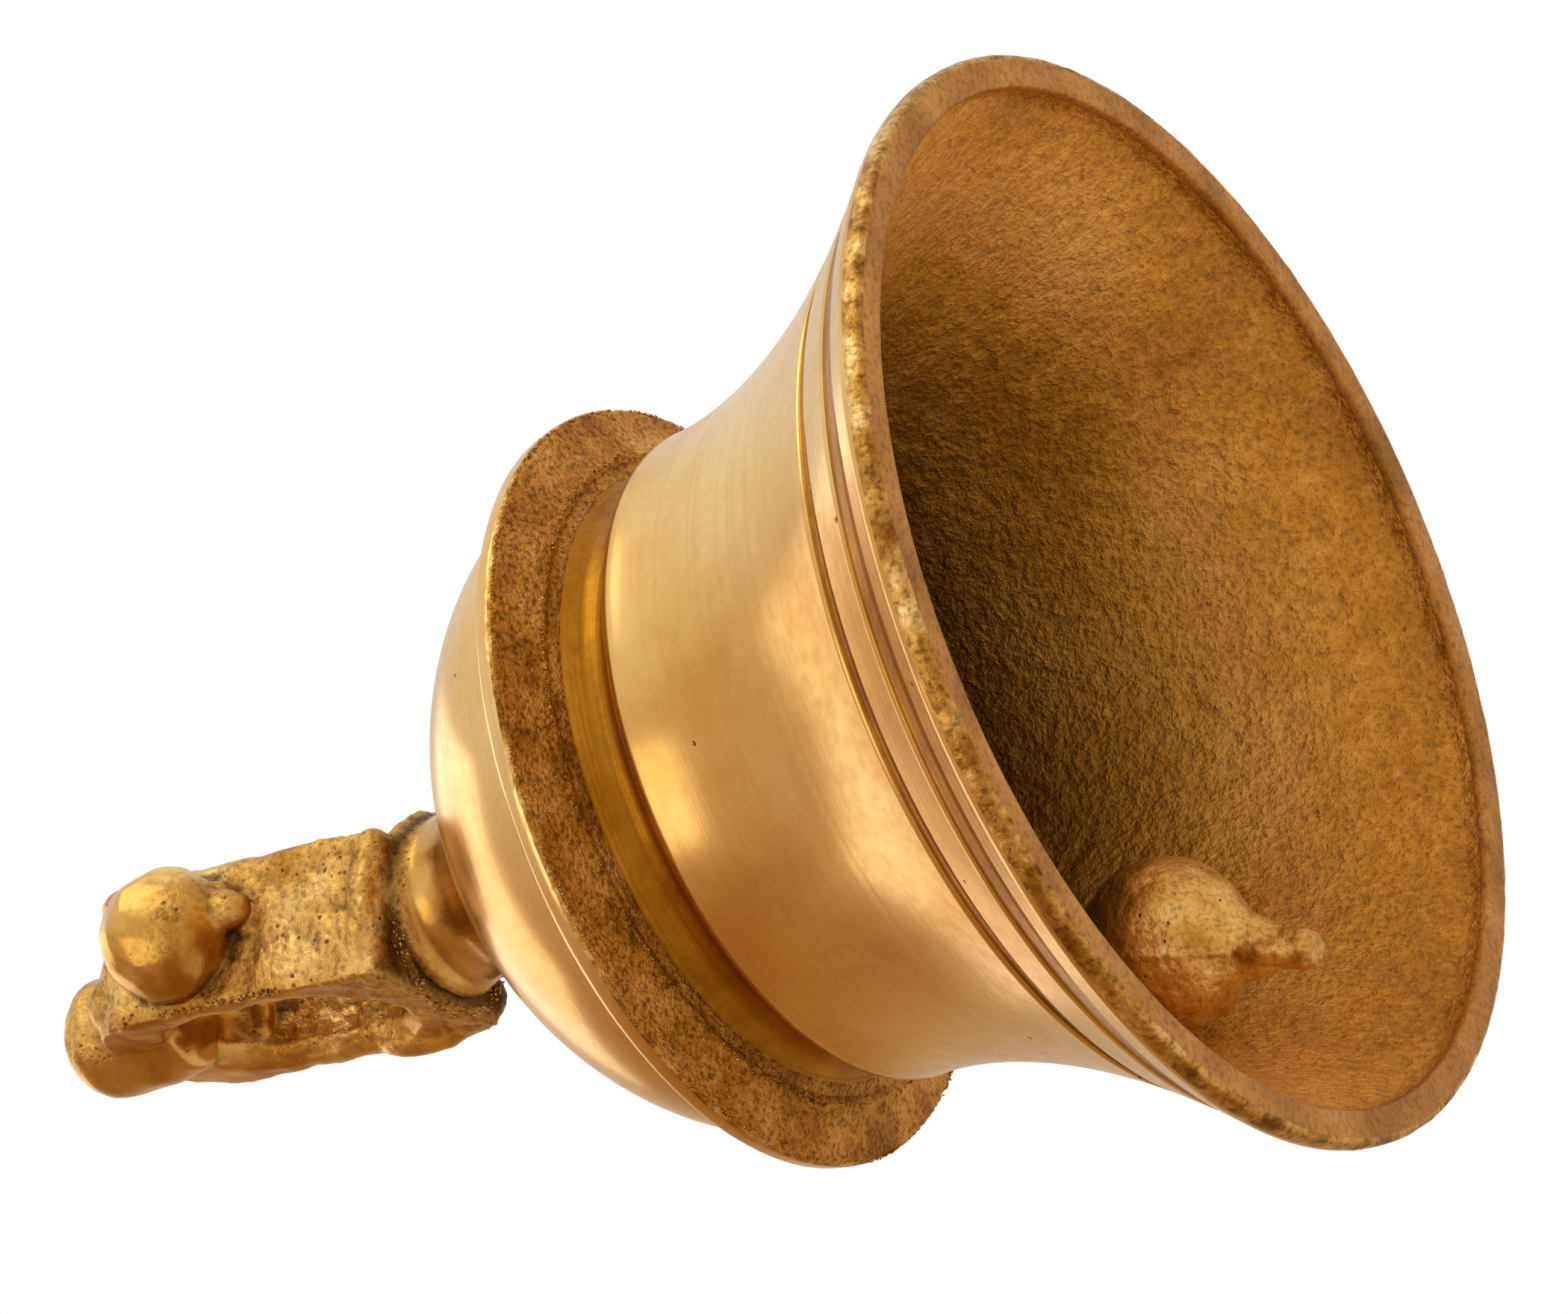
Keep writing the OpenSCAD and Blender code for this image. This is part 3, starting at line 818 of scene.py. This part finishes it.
def fused(name: str, parts: list[bmesh.types.BMesh], voxel: float, smooth_steps: int) -> bpy.types.Object:
    """Melts overlapping closed parts into one skin, as a casting is.

    Args:
        name: name of the piece.
        parts: closed meshes in metres, which are used up.
        voxel: size of the remesh, in millimetres.
        smooth_steps: rounds of smoothing over the blended corners.

    Returns:
        The object, at the origin.
    """
    mesh = bpy.data.meshes.new(name)
    whole = bmesh.new()
    for part in parts:
        scrap = bpy.data.meshes.new("scrap")
        part.to_mesh(scrap)
        whole.from_mesh(scrap)
        part.free()
        bpy.data.meshes.remove(scrap)
    whole.to_mesh(mesh)
    whole.free()
    made = show(name, mesh)
    remesh = made.modifiers.new("melt", "REMESH")
    remesh.mode = "VOXEL"
    remesh.voxel_size = voxel * MM
    remesh.use_smooth_shade = True
    ready = evaluated(made)
    made.modifiers.clear()
    made.data = ready
    work = bmesh.new()
    work.from_mesh(ready)
    for _ in range(smooth_steps):
        bmesh.ops.smooth_vert(work, verts=work.verts, factor=0.5, use_axis_x=True, use_axis_y=True,
                              use_axis_z=True)
    bmesh.ops.recalc_face_normals(work, faces=work.faces)
    for face in work.faces:
        face.smooth = True
    work.to_mesh(ready)
    work.free()
    return made


def store(mesh: bpy.types.Mesh, name: str, values: list[float]) -> None:
    """Keeps one number a point on a mesh, for its material to read."""
    mesh.attributes.new(name, "FLOAT", "POINT").data.foreach_set("value", values)


def hollows(mesh: bpy.types.Mesh, strength: float) -> list[float]:
    """How far each point sits in a crevice, for the materials to paint shade there.

    Args:
        mesh: an even, dense mesh.
        strength: how soon a hollow counts as a full crevice.

    Returns:
        From 0, open, to 1, deep, for each point.
    """
    count = len(mesh.vertices)
    place, normal = numpy.empty(count * 3), numpy.empty(count * 3)
    ends = numpy.empty(len(mesh.edges) * 2, dtype=int)
    mesh.vertices.foreach_get("co", place)
    mesh.vertices.foreach_get("normal", normal)
    mesh.edges.foreach_get("vertices", ends)
    place, normal, ends = place.reshape(-1, 3), normal.reshape(-1, 3), ends.reshape(-1, 2)
    links = numpy.bincount(ends.ravel(), minlength=count)
    soft = place.copy()
    for _ in range(14):
        total = numpy.zeros_like(soft)
        for axis in range(3):
            total[:, axis] = (numpy.bincount(ends[:, 0], soft[ends[:, 1], axis], count)
                              + numpy.bincount(ends[:, 1], soft[ends[:, 0], axis], count))
        soft = total / numpy.maximum(links, 1)[:, None]
    depth = ((soft - place) * normal).sum(axis=1) / MM
    return list(numpy.clip((depth - 0.05) / 0.32 * strength, 0, 1))


def ramp(value: float, low: float, high: float) -> float:
    """Smooth step from 0 at low to 1 at high."""
    share = min(1.0, max(0.0, (value - low) / (high - low)))
    return share * share * (3 - 2 * share)


@dataclass
class CrownHandle:
    """The loop's casting: foot, polished neck, rough collar, leaning stirrup loop, ears and stub."""

    seat_z: float = 88.0
    foot_r: float = 20.0
    neck_r: float = 9.8
    neck_h: float = 19.0
    lean: float = 9.0
    shift: float = 2.0
    loop_h: float = 42.0
    loop_w: float = 25.0
    loop_t: float = 17.8
    slab_low: float = -2.2
    eye_w: float = 16.6
    bridge: float = 5.5
    cap: float = 7.7
    bevel: float = 1.1
    ear_r: float = 6.5
    ear_drop: float = 8.5
    stub_r: float = 7.2
    stub_h: float = 8.3
    stub_shift: float = 4.6

    def to_row(self) -> Matrix:
        """Turns the loop's own upright frame into the leaning one, in metres."""
        lift = Matrix.Translation((0, 0, (self.seat_z + self.neck_h) * MM))
        return lift @ Euler((0, math.radians(self.lean), 0)).to_matrix().to_4x4() @ Matrix.Translation(
            (-self.shift * MM, 0, -1.6 * MM))

    def neck(self) -> bmesh.types.BMesh:
        """The turned foot and neck."""
        sweep = 12.5
        points = [(0.0, 0.0), (self.foot_r - 0.2, 0.0), (self.foot_r, 0.25), (self.foot_r - 0.3, 0.7)]
        for i in range(1, 19):
            share = i / 18
            swell = (self.foot_r - 0.3 - self.neck_r) * (1 - share) ** 2.3
            points.append((self.neck_r + swell, 0.7 + (sweep - 0.7) * share))
        points += [(self.neck_r + 0.1, self.neck_h - 5.8), (self.neck_r + 0.8, self.neck_h - 5.0),
                   (self.neck_r + 1.2, self.neck_h - 4.2), (self.neck_r + 1.1, self.neck_h - 3.2),
                   (self.neck_r + 0.2, self.neck_h - 2.5), (self.neck_r - 0.2, self.neck_h - 1.9),
                   (self.neck_r - 0.6, self.neck_h + 2.4), (0.0, self.neck_h + 2.4)]
        return lathe([(r, z + self.seat_z) for r, z in points])

    @staticmethod
    def outline_reach(turn: float, start: float, half: tuple[float, float], middle: float,
                      corners: tuple[float, float]) -> float:
        """Distance from a point inside a rounded oblong to its outline.

        Args:
            turn: direction, from +Y towards +Z, in radians.
            start: height of the point, which lies on the oblong's upright axis.
            half: half width and half height of the oblong.
            middle: height of its middle.
            corners: radius of its lower corners and of its upper ones.

        Returns:
            The distance.
        """
        near, far = 0.0, 60.0
        for _ in range(28):
            reach = (near + far) / 2
            y, z = reach * math.cos(turn), start + reach * math.sin(turn) - middle
            radius = corners[1] if z > 0 else corners[0]
            out_y, out_z = abs(y) - half[0] + radius, abs(z) - half[1] + radius
            gap = math.hypot(max(out_y, 0), max(out_z, 0)) + min(max(out_y, out_z), 0.0) - radius
            near, far = (reach, far) if gap < 0 else (near, reach)
        return near

    def loop(self) -> bmesh.types.BMesh:
        """The slab of the loop: straight arms round an oblong opening, with bevelled edges."""
        made = bmesh.new()
        steps = 144
        start = (self.bridge + self.loop_h - self.cap) / 2
        eye = (self.eye_w / 2, (self.loop_h - self.cap - self.bridge) / 2)
        slab = (self.loop_w / 2, (self.loop_h - self.slab_low) / 2)
        middle = (self.loop_h + self.slab_low) / 2
        face, b = self.loop_t / 2, self.bevel
        rings = []
        for i in range(steps):
            turn = math.tau * i / steps
            outer = self.outline_reach(turn, start, slab, middle, (2.2, 7.0))
            inner = self.outline_reach(turn, start, eye, start, (eye[0], eye[0]))
            section = ((outer, b - face), (outer, face - b), (outer - b, face), (inner + b, face),
                       (inner, face - b), (inner, 2 * b - face), (inner + 1.8 * b, -face),
                       (outer - b * 0.4, -face))
            rings.append([made.verts.new(Vector((x, r * math.cos(turn), start + r * math.sin(turn))) * MM)
                          for r, x in section])
        return outward(made, rings)

    def upper_parts(self) -> list[bmesh.types.BMesh]:
        """Everything over the neck, in the loop's own frame."""
        half_w, top = self.loop_w / 2, self.loop_h
        ear_z = top - self.ear_r - self.ear_drop
        lumps = [
            ((0.2, -half_w - 2.4, ear_z - 0.4), (8.0, 6.5, 8.2), (0.3, 0, 0)),
            ((0.0, half_w + 2.2, ear_z), (6.6, 6.8, 6.5), (-0.3, 0, 0)),
            ((1.9, -half_w - 1.8, 18.9), (2.6, 2.2, 3.4), (0.3, 0, 0)),
            ((2.0, -half_w - 0.6, 22.0), (4.6, 3.0, 4.0), (0, 0, 0)),
            ((-4.4, -2.5, 39.4), (5.0, 9.0, 5.0), (0, 0, 0)),
            ((-3.2, 7.2, 30.2), (2.8, 1.1, 1.6), (0, 0, 0)),
            ((-4.8, 8.5, 15.6), (3.4, 0.8, 0.9), (0, 0, 0)),
            ((-6.0, half_w - 1.4, 9.0), (4.4, 2.7, 8.5), (0, 0, 0)),
            ((-5.4, half_w - 2.4, 1.4), (4.0, 3.2, 4.4), (0, 0, 0)),
            ((0.0, -half_w + 0.2, 0.6), (7.0, 0.9, 1.6), (0, 0, 0)),
        ]
        parts = [self.loop()]
        parts += [ellipsoid(Vector(c), Vector(r), Euler(t)) for c, r, t in lumps]
        stub = lathe([(0, top - 9), (self.stub_r - 1.5, top - 8), (self.stub_r - 0.2, top - 2.5),
                      (self.stub_r, top + 2), (self.stub_r - 0.1, top + 5.2), (self.stub_r - 1.0, top + 7.2),
                      (self.stub_r - 2.8, top + self.stub_h - 0.15), (0, top + self.stub_h)], 48)
        bmesh.ops.translate(stub, vec=Vector((-self.stub_shift, 0, 0)) * MM, verts=stub.verts)
        parts.append(stub)
        for part in parts:
            bmesh.ops.transform(part, matrix=self.to_row(), verts=part.verts)
        return parts

    def rawness(self, spot: Vector, normal: Vector) -> float:
        """How raw the cast skin is at a place: high on the arms' outer faces and the collar.

        Args:
            spot: the place in the loop's own frame, in millimetres.
            normal: the way the surface faces there.

        Returns:
            From 0, polished, to 1, raw.
        """
        flank = ramp(abs(normal.y), 0.55, 0.85) * ramp(spot.z, -4.0, -1.0)
        inside = flank if abs(spot.y) < self.loop_w / 2 - 1.5 else 0.0
        outside = flank if abs(spot.y) >= self.loop_w / 2 - 1.5 else 0.0
        ear = ramp(spot.z, self.loop_h - 20.0, self.loop_h - 15.0) * ramp(abs(spot.y), 12.8, 14.5)
        collar = ramp(spot.z, -4.9, -4.0) * (1 - ramp(spot.z, 1.5, 8.0))
        beak = math.exp(-((spot - Vector((4.0, -13.5, self.loop_h - 21.5))).length / 5.0) ** 2)
        raw = max(outside * (1 - ear), inside * 0.8, collar, beak)
        patch = noise.noise(spot * 0.28) * 0.35 + noise.noise(spot * 0.9) * 0.2
        return min(1.0, max(0.0, raw + patch * (0.4 + raw)))

    def facets(self) -> list[tuple[Vector, Vector, float]]:
        """Flats that a file or hammer left on the ears and the stub: middle, direction and depth of each."""
        ear_z = self.loop_h - self.ear_r - self.ear_drop
        front = Vector((0.6, -self.loop_w / 2 - 2.4, ear_z + 0.5))
        back = Vector((0, self.loop_w / 2 + 2.2, ear_z))
        ways = ((0.2, -0.8, 0.55, 6.1), (-0.5, -0.7, 0.5, 6.3), (-0.75, -0.65, 0.0, 6.3),
                (-0.3, -0.95, -0.1, 5.9), (0.75, -0.55, 0.3, 6.4), (0.35, -0.9, -0.3, 6.0),
                (-0.2, -0.35, 0.9, 6.5), (-0.8, -0.3, 0.5, 6.9))
        made = [(front, Vector(w[:3]).normalized(), w[3]) for w in ways]
        made += [(back, Vector((w[0], -w[1], w[2])).normalized(), w[3] - 0.3) for w in ways]
        stub = Vector((-self.stub_shift, 0, self.loop_h + 3))
        return made + [(stub, Vector((-0.8, -0.6, 0.1)).normalized(), 6.8),
                       (stub, Vector((0.1, -1, 0.05)).normalized(), 6.7)]

    def roughen(self, piece: bpy.types.Object) -> None:
        """Works the skin: filed flats on the ears, swells and grain where it is raw, and stores the rawness and
        the painted shade of its hollows and its collar crease.

        Args:
            piece: the fused casting.
        """
        back = self.to_row().inverted()
        there, turn = self.to_row(), back.to_3x3()
        mesh = piece.data
        normals = [v.normal.copy() for v in mesh.vertices]
        flats = self.facets()
        values, crease_shade = [], []
        for vert, normal in zip(mesh.vertices, normals):
            spot = (back @ vert.co) / MM
            raw = self.rawness(spot, turn @ normal)
            values.append(raw)
            # Painted shade along the crease at the slab's foot, where it meets the collar; stored with the
            # hollows.
            crease_shade.append(raw * math.exp(-((spot.z - self.slab_low + 0.5) / 0.9) ** 2))
            upper = ramp(spot.z, -5.5, -2.0)
            swell = noise.noise(spot * 0.22 + Vector((3, 1, 7))) * (0.3 + 0.25 * raw)
            swell += noise.noise(spot * 0.6) * (0.08 + 0.14 * raw)
            grain = (noise.noise(spot * 1.3) * 0.16 + noise.noise(spot * 2.6) * 0.09) * raw
            vert.co += normal * (upper * swell + ramp(spot.z, -5.2, -4.0) * grain) * MM
            if spot.z > self.loop_h - 24.0:
                spot = (back @ vert.co) / MM
                share = max(ramp(abs(spot.y), 11.8, 13.2), ramp(spot.z, self.loop_h - 0.5, self.loop_h + 1.0))
                for middle, way, depth in flats:
                    over = (spot - middle).dot(way) - depth
                    if over > 0:
                        spot -= way * over * 0.5 * share * (1 - ramp((spot - middle).length, 7.0, 10.5))
                vert.co = there @ (spot * MM)
        store(mesh, "cast", values)
        store(mesh, "cavity", [max(h, c) for h, c in zip(hollows(mesh, 1.0), crease_shade)])
        mesh.update()

    def build(self) -> list[bpy.types.Object]:
        """Makes the casting and the burrs of its collar and of its front arm's edge.

        Returns:
            The pieces.
        """
        piece = fused("loop_casting", [self.neck()] + self.upper_parts(), 0.42, 3)
        self.roughen(piece)
        piece.data.materials.clear()
        piece.data.materials.append(LOOP_CASTING.material())
        burrs = BurrTree(EDGE_SKIN)
        row = self.to_row()
        collar_line = [row @ (Vector(((self.neck_r + 0.5) * math.cos(math.tau * i / 90),
                                      (self.neck_r + 0.5) * math.sin(math.tau * i / 90), -3.2)) * MM)
                       for i in range(90)]
        collar = burrs.make("collar_burrs", line_mesh("collar_line", collar_line, True), {
            "Count": 300, "Burr Size": 0.26 * MM, "Scatter": 0.55 * MM, "Seed": 5})
        edge_x, edge_y = -self.loop_t / 2 + 0.5, -self.loop_w / 2 + 0.15
        edge_line = [row @ (Vector((edge_x, edge_y, 12.0 + 17.0 * i / 30)) * MM) for i in range(31)]
        edge = burrs.make("arm_edge_burrs", line_mesh("edge_line", edge_line, False), {
            "Count": 90, "Burr Size": 0.34 * MM, "Scatter": 0.3 * MM, "Seed": 8})
        return [piece, collar, edge]


@dataclass
class Clapper:
    """The clapper's casting: ring, shank, bulb, throat and tail, with its parting seam."""

    joint: dict
    lean: float = 20.0
    swing_dir: float = 157.0
    reach: float = 42.0
    bulb_r: float = 9.7
    shank_r: float = 2.7
    ring_r: float = 5.0
    ring_bar_r: float = 1.75
    tail_r: float = 2.4
    tail_reach: float = 18.0

    def to_row(self) -> Matrix:
        """Turns the clapper's own frame, hanging along -Z from its pivot, into the row frame."""
        pivot = Vector(self.joint["pos_m"])
        swing = Euler((0, 0, math.radians(self.swing_dir))).to_matrix().to_4x4()
        tilt = Euler((0, -math.radians(self.lean), 0)).to_matrix().to_4x4()
        return Matrix.Translation(pivot) @ swing @ tilt

    def parts(self) -> list[bmesh.types.BMesh]:
        """The closed parts of the casting, in its own frame."""
        ring = hanging_ring(self.ring_r, self.ring_bar_r)
        b, mid = self.bulb_r, -self.reach
        low = [(0.0, mid - self.tail_reach), (self.tail_r - 0.7, mid - self.tail_reach),
               (self.tail_r, mid - self.tail_reach + 1.2), (self.tail_r - 0.15, mid - b * 1.42),
               (self.tail_r + 0.7, mid - b * 1.24), (b * 0.40, mid - b * 1.0)]
        bulb = arc((0.0, mid), b, -56, 58, 19)
        high = [(self.shank_r + 0.4, mid + b * 1.08), (self.shank_r, mid + b * 1.3),
                (self.shank_r, -2 * self.ring_r - 1.0), (self.shank_r * 0.8, -2 * self.ring_r + 1.2),
                (0.0, -2 * self.ring_r + 1.6)]
        return [ring, lathe(low + bulb + high, 64)]

    def build(self) -> list[bpy.types.Object]:
        """Makes the casting, raises its seam and roughens its skin.

        Returns:
            The piece.
        """
        parts = self.parts()
        b, mid = self.bulb_r, -self.reach
        ledge = ellipsoid(Vector((0.3, 1.6, mid - b * 1.25)), Vector((1.5, 2.6, 4.4)))
        parts.append(ledge)
        piece = fused("clapper_casting", parts, 0.34, 2)
        mesh = piece.data
        for vert in mesh.vertices:
            spot = vert.co / MM
            normal = vert.normal
            grain = noise.noise(spot * 1.2) * 0.09 + noise.noise(spot * 2.6) * 0.05
            swell = noise.noise(spot * 0.3 + Vector((5, 2, 1))) * 0.30
            below = 1 - ramp(spot.z, mid + b * 0.6, mid + b * 1.2)
            seam = math.exp(-(spot.x / 0.45) ** 2) * (0.35 + 0.4 * noise.noise(spot * 0.8))
            wall_side = ramp(abs(spot.y), 1.0, 2.5)
            vert.co += normal * (grain + swell * below * 0.7 + seam * wall_side * below * 0.8) * MM
        mesh.transform(self.to_row())
        mesh.update()
        # Painted shade: how deep each point sits in a hollow, for the clapper's material to darken it.
        store(mesh, "cavity", hollows(mesh, 0.8))
        mesh.materials.clear()
        mesh.materials.append(CLAPPER_SKIN.material())
        return [piece]


@dataclass
class Hardware:
    """The eye bolt, washer, nut and link, which keep their CAD shapes, and the bolt's visible thread."""

    bolt_r: float = 4.0
    pitch: float = 1.25

    def build(self) -> list[bpy.types.Object]:
        """Dresses the fasteners and winds the thread that shows under the nut.

        Returns:
            The thread.
        """
        for node, finish in (("eye_bolt", DARK_STEEL), ("crown_washer", WASHER_BRASS),
                             ("crown_nut", DARK_STEEL), ("clapper_link", WIRE_STEEL)):
            mesh = frame["nodes"][node].data
            mesh.materials.clear()
            mesh.materials.append(finish.material())
        low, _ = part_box("crown_nut")
        foot = low.z / MM - 1.6
        length = 1.5
        thread = ThreadTree(DARK_STEEL).make("bolt_thread", bpy.data.meshes.new("thread_base"), {
            "Turns": length / self.pitch, "Radius": (self.bolt_r - 0.05) * MM, "Length": length * MM,
            "Foot": foot * MM, "Ridge": 0.42 * MM})
        return [thread]


@dataclass
class Studio:
    """Camera, pale floor and soft lights."""

    camera_mm: tuple[float, float, float] = (-361.3, -659.5, -364.2)
    view: tuple[float, float, float] = (0.43196, 0.76197, 0.48250)
    roll: float = 112.95
    lens: float = 178.1
    floor_z: float = -620.0

    def camera(self) -> None:
        """Places the camera along its line of sight, turned about it."""
        data = bpy.data.cameras.new("camera")
        data.lens = self.lens
        data.sensor_width = 36.0
        data.clip_start = 0.05
        data.clip_end = 60.0
        made = show("camera", data)
        level = Vector(self.view).to_track_quat("-Z", "Y")
        made.rotation_mode = "QUATERNION"
        made.rotation_quaternion = Matrix.Rotation(
            math.radians(self.roll), 4, Vector(self.view)).to_quaternion() @ level
        made.location = Vector(self.camera_mm) * MM
        bpy.context.scene.camera = made

    def floor(self) -> None:
        """A wide pale floor, well below the hanging bell."""
        mesh = bpy.data.meshes.new("floor")
        half = 6.0
        z = self.floor_z * MM
        corners = [(-half, -half, z), (half, -half, z), (half, half, z), (-half, half, z)]
        mesh.from_pydata(corners, [], [(0, 1, 2, 3)])
        paint = bpy.data.materials.new("pale_floor")
        paint.use_nodes = True
        shader = paint.node_tree.nodes["Principled BSDF"]
        shader.inputs["Base Color"].default_value = linear("#F4F3F0")
        shader.inputs["Roughness"].default_value = 0.9
        mesh.materials.append(paint)
        made = show("floor", mesh)

    def lamp(self, name: str, place: Vector, size: float, power: float, code: str) -> None:
        """A square soft box aimed at the middle of the bell.

        Args:
            name: the light's name.
            place: where it stands, in metres.
            size: its side, in metres.
            power: its power in watts.
            code: its colour, as sRGB hex.
        """
        data = bpy.data.lights.new(name, "AREA")
        data.size = size
        data.energy = power
        data.color = linear(code)[:3]
        made = show(name, data)
        made.location = place
        made.rotation_mode = "QUATERNION"
        made.rotation_quaternion = (Vector((0, 0, 0.06)) - place).to_track_quat("-Z", "Y")

    def lights(self) -> None:
        """A broad key, a lower fill and a pale surround."""
        self.lamp("key", Vector((1.5, -1.1, 0.5)), 1.3, 6.6, "#FFFDF8")
        self.lamp("fill", Vector((-0.7, -1.6, 1.1)), 1.1, 4.2, "#FFFBF2")
        self.lamp("top", Vector((0.2, 0.5, 1.9)), 1.4, 6.0, "#FFFFFF")

    def world(self) -> None:
        """A pale surround that is white where it is seen and shaded softly where it lights the metal."""
        world = bpy.data.worlds.new("surround")
        bpy.context.scene.world = world
        world.use_nodes = True
        tree = world.node_tree
        tree.nodes.clear()
        way = add_node(tree, "ShaderNodeTexCoord").outputs["Generated"]
        lit = add_node(tree, "ShaderNodeVectorMath", {0: way, 1: (0.89, -0.29, -0.10)}, operation="DOT_PRODUCT")
        lit = lit.outputs["Value"]
        warm = add_node(tree, "ShaderNodeMix", {
            0: fade(tree, lit, -0.75, 0.45), 6: linear("#E0B070"), 7: linear("#FFFCF6")}, data_type="RGBA")
        soft = add_node(tree, "ShaderNodeBackground", {
            "Color": warm.outputs[2], "Strength": fade(tree, lit, -0.9, 0.6, 0.55, 0.98)})
        plain = add_node(tree, "ShaderNodeBackground", {"Color": linear("#FFFFFF"), "Strength": 1.0})
        seen = add_node(tree, "ShaderNodeLightPath").outputs["Is Camera Ray"]
        both = add_node(tree, "ShaderNodeMixShader", {0: seen, 1: soft.outputs[0], 2: plain.outputs[0]})
        add_node(tree, "ShaderNodeOutputWorld", {"Surface": both.outputs[0]})

    def build(self) -> None:
        """Sets the whole studio."""
        self.camera()
        self.floor()
        self.lights()
        self.world()
        bpy.context.scene.view_settings.view_transform = "Standard"


def settle(pieces: list[bpy.types.Object], body: str, node: str | None) -> None:
    """Rides pieces on a body, and lets the first one stand for a CAD node.

    Args:
        pieces: the pieces, the main one first.
        body: the CAD body that they move with.
        node: the CAD node that they replace, if any.
    """
    for i, piece in enumerate(pieces):
        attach(piece, body)
        if node and i == 0:
            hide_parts(node)
        LOG.info("%s rides on %s with %d faces", piece.name, body, len(piece.data.polygons))


def main() -> None:
    """Builds the studio, then each part of the bell."""
    logging.basicConfig(level=logging.INFO, format="%(name)s: %(message)s")
    Studio().build()
    joints = {joint["name"]: joint for joint in frame["joints"]}
    settle(BellBody().build(TurningTree()), "bell", "bell_body")
    settle(CrownHandle().build(), "bell", "crown_handle")
    settle(Clapper(joints["clapper_swing"]).build(), "clapper", "clapper")
    settle(Hardware().build(), "bell", None)


if __name__ == "__main__":
    main()
